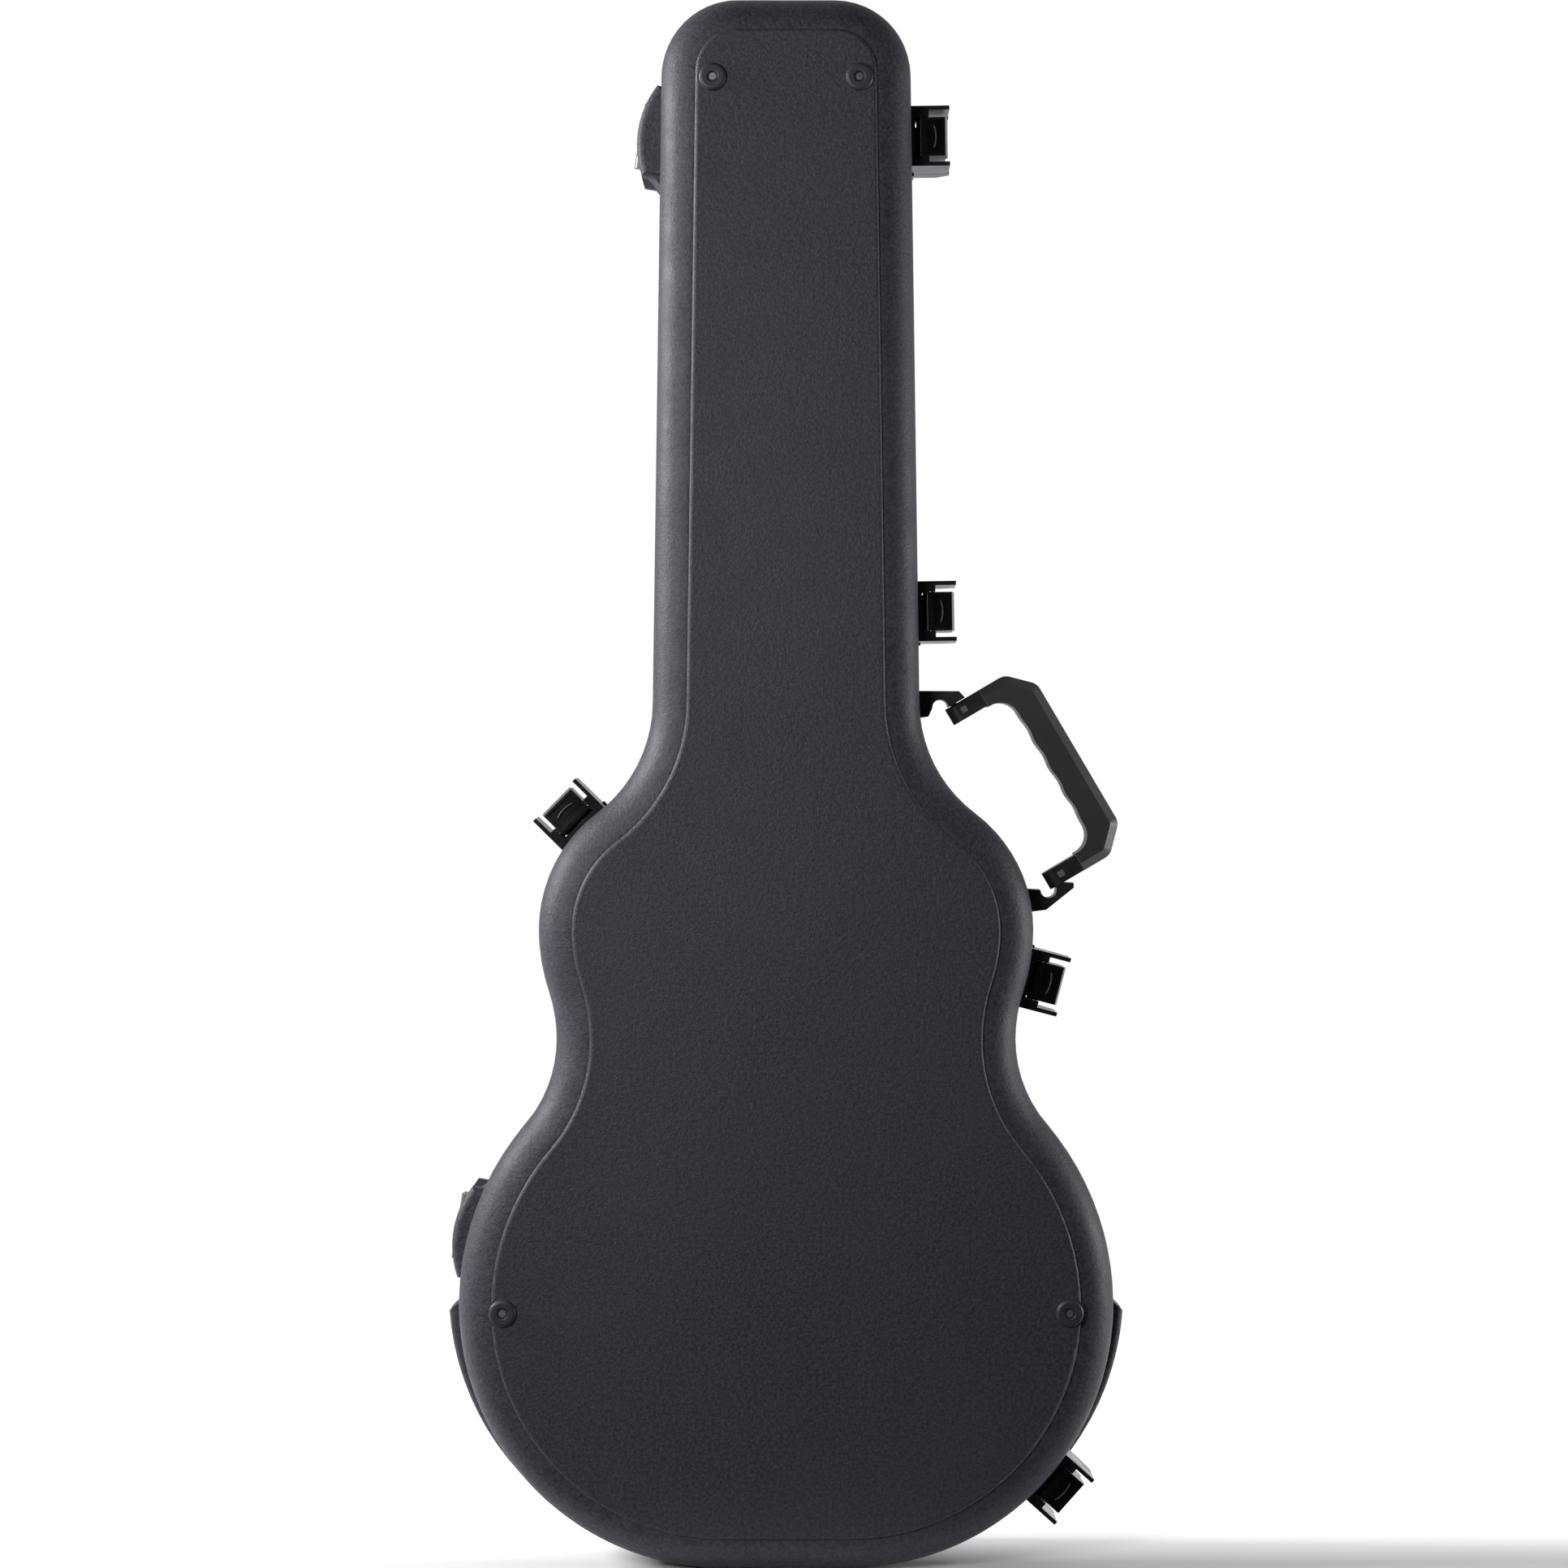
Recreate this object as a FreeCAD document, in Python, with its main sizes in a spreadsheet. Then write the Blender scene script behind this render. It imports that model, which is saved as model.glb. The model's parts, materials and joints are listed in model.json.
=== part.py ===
"""Moulded guitar case for a thin hollow guitar, standing on its lower end.

Frame, in millimetres: +Z runs along the case to the neck end, +X is the handle side, the base half
faces -Y and the lid faces +Y. The origin is under the middle of the box that holds the whole case.
"""

import FreeCAD, Part
import Sketcher
import math
import os

from FreeCAD import Placement, Rotation, Vector

SIZES = {
    # outline of the case, seen square on
    "case_length": 1130.0,
    "lower_half_width": 236.0,
    "lower_radius": 190.0,
    "lower_top_radius": 200.0,
    "waist_half_width": 165.6,
    "waist_height": 381.0,
    "upper_half_width": 178.4,
    "upper_height": 460.0,
    "upper_low_radius": 140.0,
    "upper_top_radius": 105.0,
    "shoulder_radius": 101.0,
    "neck_half_width": 96.2,
    "neck_height": 625.0,
    "neck_taper": 0.8,
    "neck_corner_radius": 55.0,
    # the two halves
    "overall_depth": 136.0,
    "parting_offset": 6.0,
    "parting_gap": 0.4,
    "wall": 3.2,
    "edge_radius": 24.0,
    "panel_inset": 25.0,
    "panel_rise": 3.0,
    "panel_round": 2.7,
    "bumper_proud": 10.0,
    "bumper_depth": 20.0,
    "bumper_top": 192.0,
    "bumper_slope": 11.0,
    "bumper_round": 5.0,
    "bumper_hollow": 0.27,
    # rims at the parting line
    "valance_width": 3.0,
    "valance_depth": 10.0,
    "tongue_width": 0.8,
    "tongue_length": 1.8,
    "tongue_gap": 0.3,
    # liners
    "liner_gap": 0.3,
    "base_liner_side": 13.0,
    "base_liner_floor": 10.0,
    "base_liner_drop": 8.0,
    "lid_liner_side": 8.0,
    "lid_liner_floor": 9.0,
    "lid_liner_drop": 14.0,
    "liner_round": 3.0,
    "tray_gap": 1.5,
    "floor_gap": 0.6,
    # neck cradle and accessory box
    "cradle_height": 840.0,
    "cradle_length": 36.0,
    "cradle_below_rim": 12.0,
    "cradle_notch_width": 62.0,
    "cradle_notch_depth": 26.0,
    "cradle_notch_slope": 8.0,
    "cradle_round": 3.0,
    "box_low": 640.0,
    "box_length": 160.0,
    "box_wall": 3.0,
    "box_below_rim": 22.0,
    "door_width": 60.0,
    "door_edge": 12.0,
    "door_gap": 0.5,
    "door_thickness": 3.0,
    "door_barrel_radius": 3.0,
    "door_pin_radius": 1.25,
    "door_knuckle_gap": 0.3,
    "door_knuckle_foot": 4.0,
    "tab_length": 14.0,
    "tab_width": 18.0,
    "tab_thickness": 2.5,
    "tab_edge": 6.0,
    # lid hinges: the axis lies at the parting line, outside the left edge
    "axis_low_proud": 1.5,
    "axis_low_height": 240.8,
    "axis_top_proud": 13.0,
    "axis_top_drop": 90.3,
    "hinge_length": 48.0,
    "hinge_barrel_radius": 4.0,
    "hinge_pin_radius": 2.0,
    "pin_head": 1.2,
    "pin_head_overhang": 0.8,
    "knuckle_play": 0.3,
    "running_clearance": 0.05,
    "leaf_offset": 4.3,
    "leaf_thickness": 2.0,
    "leaf_depth": 20.0,
    "leaf_relief": 1.0,
    "leaf_rivet_depth": 13.6,
    "boss_flat": 52.0,
    "boss_foot": 86.0,
    "boss_root": 25.0,
    "crown_length": 67.0,
    "crown_top": 4.0,
    "crown_end": 4.5,
    "crown_depth": 33.0,
    "crown_round": 5.0,
    # latches
    "latch_width": 43.5,
    "latch_proud": 28.0,
    "latch_depth": 36.0,
    "latch_gap": 0.4,
    "latch_room": 3.0,
    "rail_width": 3.0,
    "seat_depth": 10.0,
    "latch_base": 3.0,
    "shoulder_top": 13.0,
    "shoulder_back": 12.0,
    "shoulder_gap": 0.4,
    "trigger_width": 28.0,
    "trigger_top": 27.0,
    "trigger_scoop": 1.6,
    "trigger_bevel": 2.0,
    "trigger_crest": 6.0,
    "trigger_dip": 3.0,
    "trigger_dip_reach": 20.0,
    "trigger_lip": 5.0,
    "recess_depth": 1.5,
    "recess_border": 2.5,
    "rib_thickness": 0.9,
    "rib_radius": 22.0,
    "trigger_low": 10.0,
    "pivot_height": 8.0,
    "pivot_back": 29.0,
    "pivot_boss": 4.0,
    "pivot_pin_radius": 1.75,
    "hook_reach": 10.5,
    "hook_thickness": 2.2,
    "hook_low": 4.6,
    "lip_low": 5.0,
    "lip_thickness": 3.0,
    "lip_top": 8.5,
    "keeper_depth": 17.0,
    "keeper_flange": 1.5,
    "cheek_slope": 9.0,
    "cheek_overreach": 0.8,
    "lip_inset": 0.5,
    "spring_thickness": 0.6,
    "spring_foot": 22.0,
    "spring_bend": 16.0,
    "spring_tip": 8.0,
    "spring_gap": 0.4,
    "latch_1_drop": 96.0,
    "latch_2_height": 690.0,
    "latch_3_angle": -14.6,
    "latch_4_angle": -41.7,
    "latch_5_angle": 135.3,
    # handle
    "handle_top_reach": 29.3,
    "handle_top_height": 617.1,
    "handle_low_reach": 17.4,
    "handle_low_height": 497.7,
    "handle_offset": 18.0,
    "grip_reach": 48.0,
    "grip_thickness": 23.0,
    "grip_depth": 30.0,
    "grip_bevel": 17.5,
    "grip_corner_round": 10.0,
    "grip_inside_round": 14.0,
    "grip_edge_chamfer": 6.0,
    "finger_wave": 1.1,
    "arm_thickness": 13.0,
    "arm_depth": 16.0,
    "eye_radius": 7.5,
    "arm_length": 20.0,
    "strap_thickness": 8.0,
    "strap_depth": 10.0,
    "eye_gap": 0.5,
    "handle_pin_radius": 2.5,
    "handle_pin_length": 19.0,
    "stud_width": 5.2,
    "stud_rise": 0.8,
    "stud_offset": 4.5,
    "bracket_notch_radius": 5.8,
    "bracket_depth": 22.0,
    "bracket_room": 14.0,
    # feet
    "foot_radius": 10.0,
    "foot_rise": 3.0,
    "foot_pad_radius": 11.2,
    "foot_crown_round": 2.6,
    "foot_dimple": 3.2,
    "foot_dimple_depth": 1.6,
    "foot_lip_round": 1.4,
    "foot_top_inset": 43.7,
    "foot_top_drop": 60.0,
    "foot_low_inset": 33.5,
    "foot_low_height": 187.0,
    "foot_screw_head": 0.9,
    "foot_screw_radius": 2.6,
    "foot_shank_radius": 1.4,
    # small fasteners
    "rivet_radius": 1.6,
    "rivet_head_radius": 2.8,
    "rivet_head": 1.0,
    "rivet_taper": 0.55,
    "rivet_sink": 0.4,
    "rivet_edge": 3.2,
    "housing_rivet_back": 6.0,
    "keeper_rivet_back": 4.5,
}


class Size:
    """A number together with the sheet expression that gives it."""

    def __init__(self, value, text):
        self.value = value
        self.text = text

    def __add__(self, other):
        other = as_size(other)
        return Size(self.value + other.value, f"({self.text} + {other.text})")

    def __sub__(self, other):
        other = as_size(other)
        return Size(self.value - other.value, f"({self.text} - {other.text})")

    def __mul__(self, factor):
        return Size(self.value * factor, f"({self.text} * {factor})")

    def __neg__(self):
        return self * -1


def as_size(number):
    if isinstance(number, Size):
        return number
    return Size(number, f"({number})")


doc = FreeCAD.newDocument("guitar_case")
sheet = doc.addObject("Spreadsheet::Sheet", "sizes")
for row, (alias, number) in enumerate(SIZES.items(), 1):
    sheet.set(f"A{row}", alias)
    sheet.set(f"B{row}", str(number))
    sheet.setAlias(f"B{row}", alias)
doc.recompute()


def cell(alias):
    """The sheet's value under this alias, as a Size."""
    return Size(float(sheet.get(alias)), f"sizes.{alias}")


def mm(alias):
    """The sheet's value under this alias, as a number."""
    return float(sheet.get(alias))


SUB_PARTS = []


def keep(item, label):
    """Name a finished sub-part and list it for export."""
    item.Label = label
    SUB_PARTS.append(item)
    return item


# ---------------------------------------------------------------- document helpers


def bind(item, **sizes):
    for name, size in sizes.items():
        item.setExpression(name, as_size(size).text)


def locate(item, x=0, y=0, z=0):
    for axis, size in zip("xyz", (x, y, z)):
        item.setExpression(f"Placement.Base.{axis}", as_size(size).text)


def box(name, low, high):
    """A Part::Box between two corners given as Sizes."""
    low = [as_size(size) for size in low]
    high = [as_size(size) for size in high]
    item = doc.addObject("Part::Box", name)
    bind(item, Length=high[0] - low[0], Width=high[1] - low[1], Height=high[2] - low[2])
    locate(item, *low)
    return item


def rod(name, radius, length, base=(0, 0, 0)):
    """A Part::Cylinder along +Z from its base point."""
    item = doc.addObject("Part::Cylinder", name)
    bind(item, Radius=radius, Height=length)
    locate(item, *base)
    return item


def cut(name, base, tool):
    item = doc.addObject("Part::Cut", name)
    item.Base = base
    item.Tool = tool
    return item


def fuse(name, pieces):
    item = doc.addObject("Part::MultiFuse", name)
    item.Shapes = pieces
    return item


def solid_feature(name, shape, placement=None):
    """A Part::Feature holding a shape made with Part's own functions."""
    item = doc.addObject("Part::Feature", name)
    item.Shape = shape
    if placement is not None:
        item.Placement = placement
    return item


def origin_plane(body, role):
    return next(item for item in body.Origin.OriginFeatures if item.Role == role)


def new_sketch(body, name, role):
    sketch = body.newObject("Sketcher::SketchObject", name)
    sketch.AttachmentSupport = [(origin_plane(body, role), "")]
    sketch.MapMode = "FlatFace"
    return sketch


def fix_point(sketch, geometry, end, x, y):
    """Hold one point of a sketch at two Sizes from the sketch's origin."""
    for kind, size in (("DistanceX", x), ("DistanceY", y)):
        size = as_size(size)
        number = sketch.addConstraint(Sketcher.Constraint(kind, -1, 1, geometry, end, size.value))
        sketch.setExpression(f"Constraints[{number}]", size.text)


def draw_polygon(sketch, points):
    corners = [Vector(as_size(x).value, as_size(y).value, 0) for x, y in points]
    for start, end in zip(corners, corners[1:] + corners[:1]):
        sketch.addGeometry(Part.LineSegment(start, end), False)
    count = len(points)
    for number in range(count):
        sketch.addConstraint(
            Sketcher.Constraint("Coincident", number, 2, (number + 1) % count, 1)
        )
    for number, (x, y) in enumerate(points):
        fix_point(sketch, number, 1, x, y)


def new_body(name):
    return doc.addObject("PartDesign::Body", name)


def pad(body, sketch, length, midplane=False):
    feature = body.newObject("PartDesign::Pad", f"{body.Name}_pad")
    feature.Profile = sketch
    feature.Midplane = midplane
    bind(feature, Length=length)
    body.Tip = feature
    return feature


def prism(name, points, length, plane="XY_Plane"):
    """A Body padded both ways from one of its own planes."""
    body = new_body(name)
    sketch = new_sketch(body, f"{name}_profile", plane)
    draw_polygon(sketch, points)
    pad(body, sketch, length, midplane=True)
    return body


def round_edges(body, radius, chosen):
    """Fillet the edges of a body's tip for which chosen(edge) is true."""
    doc.recompute()
    base = body.Tip
    names = [
        f"Edge{number}" for number, edge in enumerate(base.Shape.Edges, 1) if chosen(edge)
    ]
    feature = body.newObject("PartDesign::Fillet", f"{body.Name}_fillet")
    feature.Base = (base, names)
    bind(feature, Radius=radius)
    body.Tip = feature
    return feature


# ---------------------------------------------------------------- the outline


def polar(angle, radius):
    """A vector in the XZ plane, angle in degrees from +X towards +Z."""
    turn = math.radians(angle)
    return Vector(radius * math.cos(turn), 0, radius * math.sin(turn))


class Outline:
    """The case's outline: arcs tangent to each other, from a few heights, half widths and radii."""

    def __init__(self):
        self.length = mm("case_length")
        self.low = Vector(mm("lower_half_width") - mm("lower_radius"), 0, mm("lower_radius"))
        self.low_top = self.low + Vector(mm("lower_radius") - mm("lower_top_radius"), 0, 0)
        upper_x = mm("upper_half_width")
        upper_z = mm("upper_height")
        self.up_low = Vector(upper_x - mm("upper_low_radius"), 0, upper_z)
        self.up_top = Vector(upper_x - mm("upper_top_radius"), 0, upper_z)
        self.waist_low = self.waist_centre(self.low_top, mm("lower_top_radius"))
        self.waist_top = self.waist_centre(self.up_low, mm("upper_low_radius"))
        taper = mm("neck_taper")
        self.side_normal = polar(taper, 1)
        self.side_up = polar(90 + taper, 1)
        self.side_foot = Vector(mm("neck_half_width"), 0, mm("neck_height"))
        self.shoulder = self.shoulder_centre()
        self.corner = self.corner_centre()

    def waist_centre(self, bout, radius):
        """Centre of the hollow arc through the waist that touches a bout of this radius."""
        across = mm("waist_half_width") - bout.x
        along = mm("waist_height") - bout.z
        hollow = (across**2 + along**2 - radius**2) / (2 * (radius - across))
        return Vector(mm("waist_half_width") + hollow, 0, mm("waist_height"))

    def shoulder_centre(self):
        """Centre of the hollow arc that touches the neck's side and the upper bout."""
        hollow = mm("shoulder_radius")
        start = self.side_foot + self.side_normal * hollow - self.up_top
        reach = mm("upper_top_radius") + hollow
        half = start.dot(self.side_up)
        along = -half + math.sqrt(half**2 - start.dot(start) + reach**2)
        return self.up_top + start + self.side_up * along

    def corner_centre(self):
        radius = mm("neck_corner_radius")
        start = self.side_foot - self.side_normal * radius
        along = (self.length - radius - start.z) / self.side_up.z
        return start + self.side_up * along

    def wire(self, inset=0.0):
        """Closed wire of the outline, moved inwards by inset, in the plane y = 0."""
        right = self.right_side(inset)
        flip = FreeCAD.Matrix()
        flip.A11 = -1
        left = [edge.transformGeometry(flip) for edge in right]
        return Part.Wire(Part.__sortEdges__(right + left))

    def right_side(self, inset):
        low_radius = mm("lower_radius") - inset
        foot = self.low + polar(-90, low_radius)
        middle = Vector(0, 0, foot.z)
        edges = [Part.LineSegment(middle, foot).toShape()]
        edges.append(arc(self.low, low_radius, -90, 0))
        edges += self.link(self.low_top, mm("lower_top_radius"), self.waist_low, inset, 0)
        edges += self.link(self.up_low, mm("upper_low_radius"), self.waist_top, inset, 0)
        touch = angle_of(self.shoulder - self.up_top)
        edges.append(arc(self.up_top, mm("upper_top_radius") - inset, 0, touch))
        side = 180 + mm("neck_taper")
        hollow = mm("shoulder_radius") + inset
        edges.append(arc(self.shoulder, hollow, side, touch + 180))
        neck_start = self.shoulder + polar(side, hollow)
        corner_radius = mm("neck_corner_radius") - inset
        neck_end = self.corner + polar(mm("neck_taper"), corner_radius)
        edges.append(Part.LineSegment(neck_start, neck_end).toShape())
        edges.append(arc(self.corner, corner_radius, mm("neck_taper"), 90))
        top = self.corner + polar(90, corner_radius)
        edges.append(Part.LineSegment(top, Vector(0, 0, top.z)).toShape())
        return edges

    def link(self, bout, radius, waist, inset, start):
        """The bout's arc from its widest point to the waist, and the waist's arc to its middle."""
        touch = angle_of(waist - bout)
        hollow = waist.x - mm("waist_half_width") + inset
        low, high = sorted((start, touch))
        first, last = sorted((180, touch + 180))
        return [arc(bout, radius - inset, low, high), arc(waist, hollow, first, last)]

    def half_width(self, height):
        """Half width of the neck's straight stretch at this height."""
        rise = (height - self.side_foot.z) / self.side_up.z
        return self.side_foot.x + self.side_up.x * rise


def angle_of(vector):
    return math.degrees(math.atan2(vector.z, vector.x))


def arc(centre, radius, start, end):
    middle = centre + polar((start + end) / 2, radius)
    return Part.Arc(
        centre + polar(start, radius), middle, centre + polar(end, radius)
    ).toShape()


OUTLINE = Outline()

# the parting plane, and each half's depth from it to its flat face without the raised panel
PARTING = mm("parting_offset")
BASE_DEPTH = PARTING + mm("overall_depth") / 2 - mm("foot_rise") - mm("panel_rise")
LID_DEPTH = mm("overall_depth") / 2 - PARTING - mm("panel_rise")
HALF_GAP = mm("parting_gap") / 2


def slab(inset, start, end):
    """The outline moved inwards by inset, filled, from y = start to y = end."""
    face = Part.Face(OUTLINE.wire(inset))
    face.translate(Vector(0, start, 0))
    return face.extrude(Vector(0, end - start, 0))


def far_edges(solid, y):
    """Edges that lie in the plane at this y."""
    return [
        edge
        for edge in solid.Edges
        if abs(edge.BoundBox.YMin - y) < 1e-6 and abs(edge.BoundBox.YMax - y) < 1e-6
    ]


def rounded_slab(inset, start, end, radius):
    solid = slab(inset, start, end)
    return solid.makeFillet(radius, far_edges(solid, end))


def to_half(shape, half):
    """Move a shape from half coordinates (y from the parting plane outwards) to its place."""
    if half == "base":
        shape = shape.mirror(Vector(0, 0, 0), Vector(0, 1, 0))
    shape.translate(Vector(0, PARTING, 0))
    return shape


# ---------------------------------------------------------------- lid hinge axis


def axis_ends():
    """Two points on the lid's axis: one beside the lower bout, one beside the end of the neck."""
    low = Vector(-mm("lower_half_width") - mm("axis_low_proud"), PARTING, mm("axis_low_height"))
    height = OUTLINE.length - mm("axis_top_drop")
    top = Vector(-OUTLINE.half_width(height) - mm("axis_top_proud"), PARTING, height)
    return low, top


AXIS_LOW, AXIS_TOP = axis_ends()
AXIS_LEAN = math.degrees(math.atan2(AXIS_TOP.x - AXIS_LOW.x, AXIS_TOP.z - AXIS_LOW.z))
HINGES = {"lower": AXIS_LOW, "upper": AXIS_TOP}


def hinge_placement(centre):
    """Local +Z down the lid's axis, local +X away from the case, local +Y like the row's."""
    return Placement(centre, Rotation(Vector(0, 1, 0), AXIS_LEAN + 180))


# ---------------------------------------------------------------- shells


def bumper(side):
    """Half coordinates: the moulded band round one side of the lower end, sloped at its top."""
    depth = mm("bumper_depth")
    wide = mm("lower_half_width") + mm("bumper_proud")
    radius = mm("lower_radius") + mm("bumper_proud") / 2
    centre = Vector(wide - radius, 0, radius)
    full = mm("bumper_top") - mm("bumper_slope")
    rise = math.degrees(math.asin((full - radius) / radius))
    start = centre + polar(-90, radius)
    end = centre + polar(rise, radius)
    inside = mm("bumper_proud") + mm("wall") / 2
    foot = Vector(start.x, 0, inside)
    head = end + Vector(-inside, 0, mm("bumper_slope"))
    hollow = (foot + head) * 0.5 + polar(-45, radius * mm("bumper_hollow"))
    edges = [
        arc(centre, radius, -90, rise),
        Part.LineSegment(end, head).toShape(),
        Part.Arc(head, hollow, foot).toShape(),
        Part.LineSegment(foot, start).toShape(),
    ]
    solid = Part.Face(Part.Wire(Part.__sortEdges__(edges))).extrude(Vector(0, depth, 0))
    outer = [edge for edge in far_edges(solid, depth) if is_arc(edge, radius)]
    solid = solid.makeFillet(mm("bumper_round"), outer)
    if side < 0:
        solid = solid.mirror(Vector(0, 0, 0), Vector(1, 0, 0))
    return solid


def is_arc(edge, radius):
    return edge.Curve.TypeId == "Part::GeomCircle" and abs(edge.Curve.Radius - radius) < 1e-6


def hinge_boss(centre):
    """Half coordinates: the boss that carries a hinge leaf, and the crescent that covers it."""
    flat = mm("boss_flat") / 2
    foot = mm("boss_foot") / 2
    face = -mm("leaf_offset")
    root = -mm("boss_root")
    buried = root - mm("wall")
    corners = [(face, -flat), (face, flat), (root, foot), (buried, foot), (buried, -foot), (root, -foot)]
    points = [Vector(x, 0, z) for x, z in corners]
    depth = mm("crown_depth")
    seat = Part.Face(Part.makePolygon(points + points[:1])).extrude(Vector(0, depth - 1, 0))
    half = mm("crown_length") / 2
    near = mm("leaf_depth") + 1
    end = -mm("crown_end")
    rim = Part.Arc(Vector(end, near, -half), Vector(mm("crown_top"), near, 0), Vector(end, near, half))
    back = [Vector(x, near, z) for x, z in ((end, half), (buried, half), (buried, -half), (end, -half))]
    sides = [Part.LineSegment(start, stop).toShape() for start, stop in zip(back, back[1:])]
    wire = Part.Wire(Part.__sortEdges__([rim.toShape()] + sides))
    crown = Part.Face(wire).extrude(Vector(0, depth - near, 0))
    outer = [edge for edge in far_edges(crown, depth) if edge.BoundBox.XMax > buried + 1]
    crown = crown.makeFillet(mm("crown_round"), outer)
    boss = seat.fuse(crown)
    boss.Placement = hinge_placement(Vector(centre.x, 0, centre.z))
    return boss


def half_shell(half):
    depth = BASE_DEPTH if half == "base" else LID_DEPTH
    wall = mm("wall")
    panel = mm("panel_inset")
    rise = mm("panel_rise")
    room = Part.makeBox(900, 900, 1500, Vector(-450, HALF_GAP, 0))
    outside = rounded_slab(0, HALF_GAP, depth, mm("edge_radius"))
    outside = outside.fuse(rounded_slab(panel, depth - wall, depth + rise, mm("panel_round")))
    keep_out = latch_clearance()
    for side in (-1, 1):
        outside = outside.fuse(bumper(side).common(room).cut(keep_out))
    for centre in HINGES.values():
        outside = outside.fuse(hinge_boss(centre).common(room))
    inside = rounded_slab(wall, -1, depth - wall, mm("edge_radius") - wall)
    inside = inside.fuse(slab(panel + wall, depth - wall - 1, depth - wall + rise))
    if half == "base":
        for centre in foot_places():
            start = Vector(centre.x, depth - wall, centre.z)
            pad_shape = Part.makeCylinder(mm("foot_pad_radius"), wall + rise, start, Vector(0, 1, 0))
            outside = outside.fuse(pad_shape)
    shell = to_half(outside.cut(inside).removeSplitter(), half)
    if half == "base":
        for centre in foot_places():
            start = centre - Vector(0, 1, 0)
            shell = shell.cut(
                Part.makeCylinder(mm("foot_shank_radius"), wall + rise + 2, start, Vector(0, 1, 0))
            )
    return keep(solid_feature(f"{half}_shell", shape_of_one_solid(shell)), f"{half}_shell")


def shape_of_one_solid(shape):
    """The single solid in a shape, or the shape itself when it has several."""
    return shape.Solids[0] if len(shape.Solids) == 1 else shape


def latch_clearance():
    """Half coordinates: the room that the latch on the lower bout needs beside the bumper."""
    width = mm("latch_width") + 2 * mm("latch_room")
    deep = mm("seat_depth") + mm("latch_room")
    block = Part.makeBox(2 * mm("latch_proud"), 200, width, Vector(-deep, -100, -width / 2))
    place = latch_places()["latch_4"]
    block.Placement = Placement(Vector(place.Base.x, 0, place.Base.z), place.Rotation)
    return block


# ---------------------------------------------------------------- valances


def ring(outer_inset, inner_inset, start, end):
    return slab(outer_inset, start, end).cut(slab(inner_inset, start - 1, end + 1))


def valance(half):
    """The aluminium rim inside a shell's edge: the base has the groove, the lid has the tongue."""
    outer = mm("wall")
    inner = outer + mm("valance_width")
    middle = (outer + inner) / 2
    rim = ring(outer, inner, HALF_GAP, mm("valance_depth"))
    half_tongue = mm("tongue_width") / 2
    if half == "base":
        half_groove = half_tongue + mm("tongue_gap")
        groove_depth = mm("tongue_length") + mm("tongue_gap")
        groove = ring(middle - half_groove, middle + half_groove, -1, groove_depth)
        shape = rim.cut(groove)
    else:
        tongue = ring(middle - half_tongue, middle + half_tongue, -mm("tongue_length"), 1)
        shape = rim.fuse(tongue).removeSplitter()
    item = solid_feature(f"{half}_valance", shape_of_one_solid(to_half(shape, half)))
    return keep(item, f"{half}_valance")


# ---------------------------------------------------------------- liners


def liner_inset():
    return mm("wall") + mm("valance_width") + mm("liner_gap")


def liner(half):
    """A tray of padded foam inside a shell."""
    depth = BASE_DEPTH if half == "base" else LID_DEPTH
    back = depth - mm("wall") - mm("liner_gap")
    outer = liner_inset()
    inner = outer + mm(f"{half}_liner_side")
    start = mm(f"{half}_liner_drop")
    round_out = mm("edge_radius") - mm("wall")
    tray = rounded_slab(outer, start, back, round_out)
    hollow = rounded_slab(
        inner, start - 1, back - mm(f"{half}_liner_floor"), mm("liner_round")
    )
    shape = to_half(tray.cut(hollow), half)
    return keep(solid_feature(f"{half}_liner", shape_of_one_solid(shape)), f"{half}_liner")


def floor_level():
    """y of the base liner's inner floor."""
    back = BASE_DEPTH - mm("wall") - mm("liner_gap") - mm("base_liner_floor")
    return PARTING - back


def tray_half_width(height):
    """Half width of what fits between the base liner's side pads, at a height on the neck."""
    side = liner_inset() + mm("base_liner_side") + mm("tray_gap")
    return OUTLINE.half_width(height) - side


# ---------------------------------------------------------------- cradle and accessory box


def neck_cradle():
    """Padded block across the tray, with a notch that holds the neck."""
    low = mm("cradle_height") - mm("cradle_length") / 2
    half = tray_half_width(low + mm("cradle_length"))
    floor = floor_level() + mm("floor_gap")
    top = cell("parting_offset") - cell("cradle_below_rim")
    notch = cell("cradle_notch_width") * 0.5
    bottom = top - cell("cradle_notch_depth")
    points = [(-half, floor), (half, floor), (half, top), (notch, top)]
    narrow = notch - cell("cradle_notch_slope")
    points += [(narrow, bottom), (-narrow, bottom), (-notch, top), (-half, top)]
    body = prism("neck_cradle", points, cell("cradle_length"))
    round_edges(body, cell("cradle_round"), lambda edge: is_along(edge, Vector(0, 0, 1)))
    body.Placement = Placement(Vector(0, 0, mm("cradle_height")), Rotation())
    return keep(body, "neck_cradle")


def is_along(edge, direction):
    if edge.Curve.TypeId != "Part::GeomLine":
        return False
    return abs(edge.tangentAt(edge.FirstParameter).dot(direction)) > 0.999


def accessory_levels():
    low = mm("box_low")
    half = tray_half_width(low + mm("box_length"))
    floor = floor_level() + mm("floor_gap")
    top = PARTING - mm("box_below_rim")
    return low, half, floor, top


# where the door's knuckles and pin start and end, as shares of the box's length
BOX_KNUCKLE = (0.26, 0.74)
DOOR_KNUCKLES = {"door_knuckle_low": (0.06, 0.25), "door_knuckle_top": (0.75, 0.94)}
DOOR_PIN = (0.05, 0.95)


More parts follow.
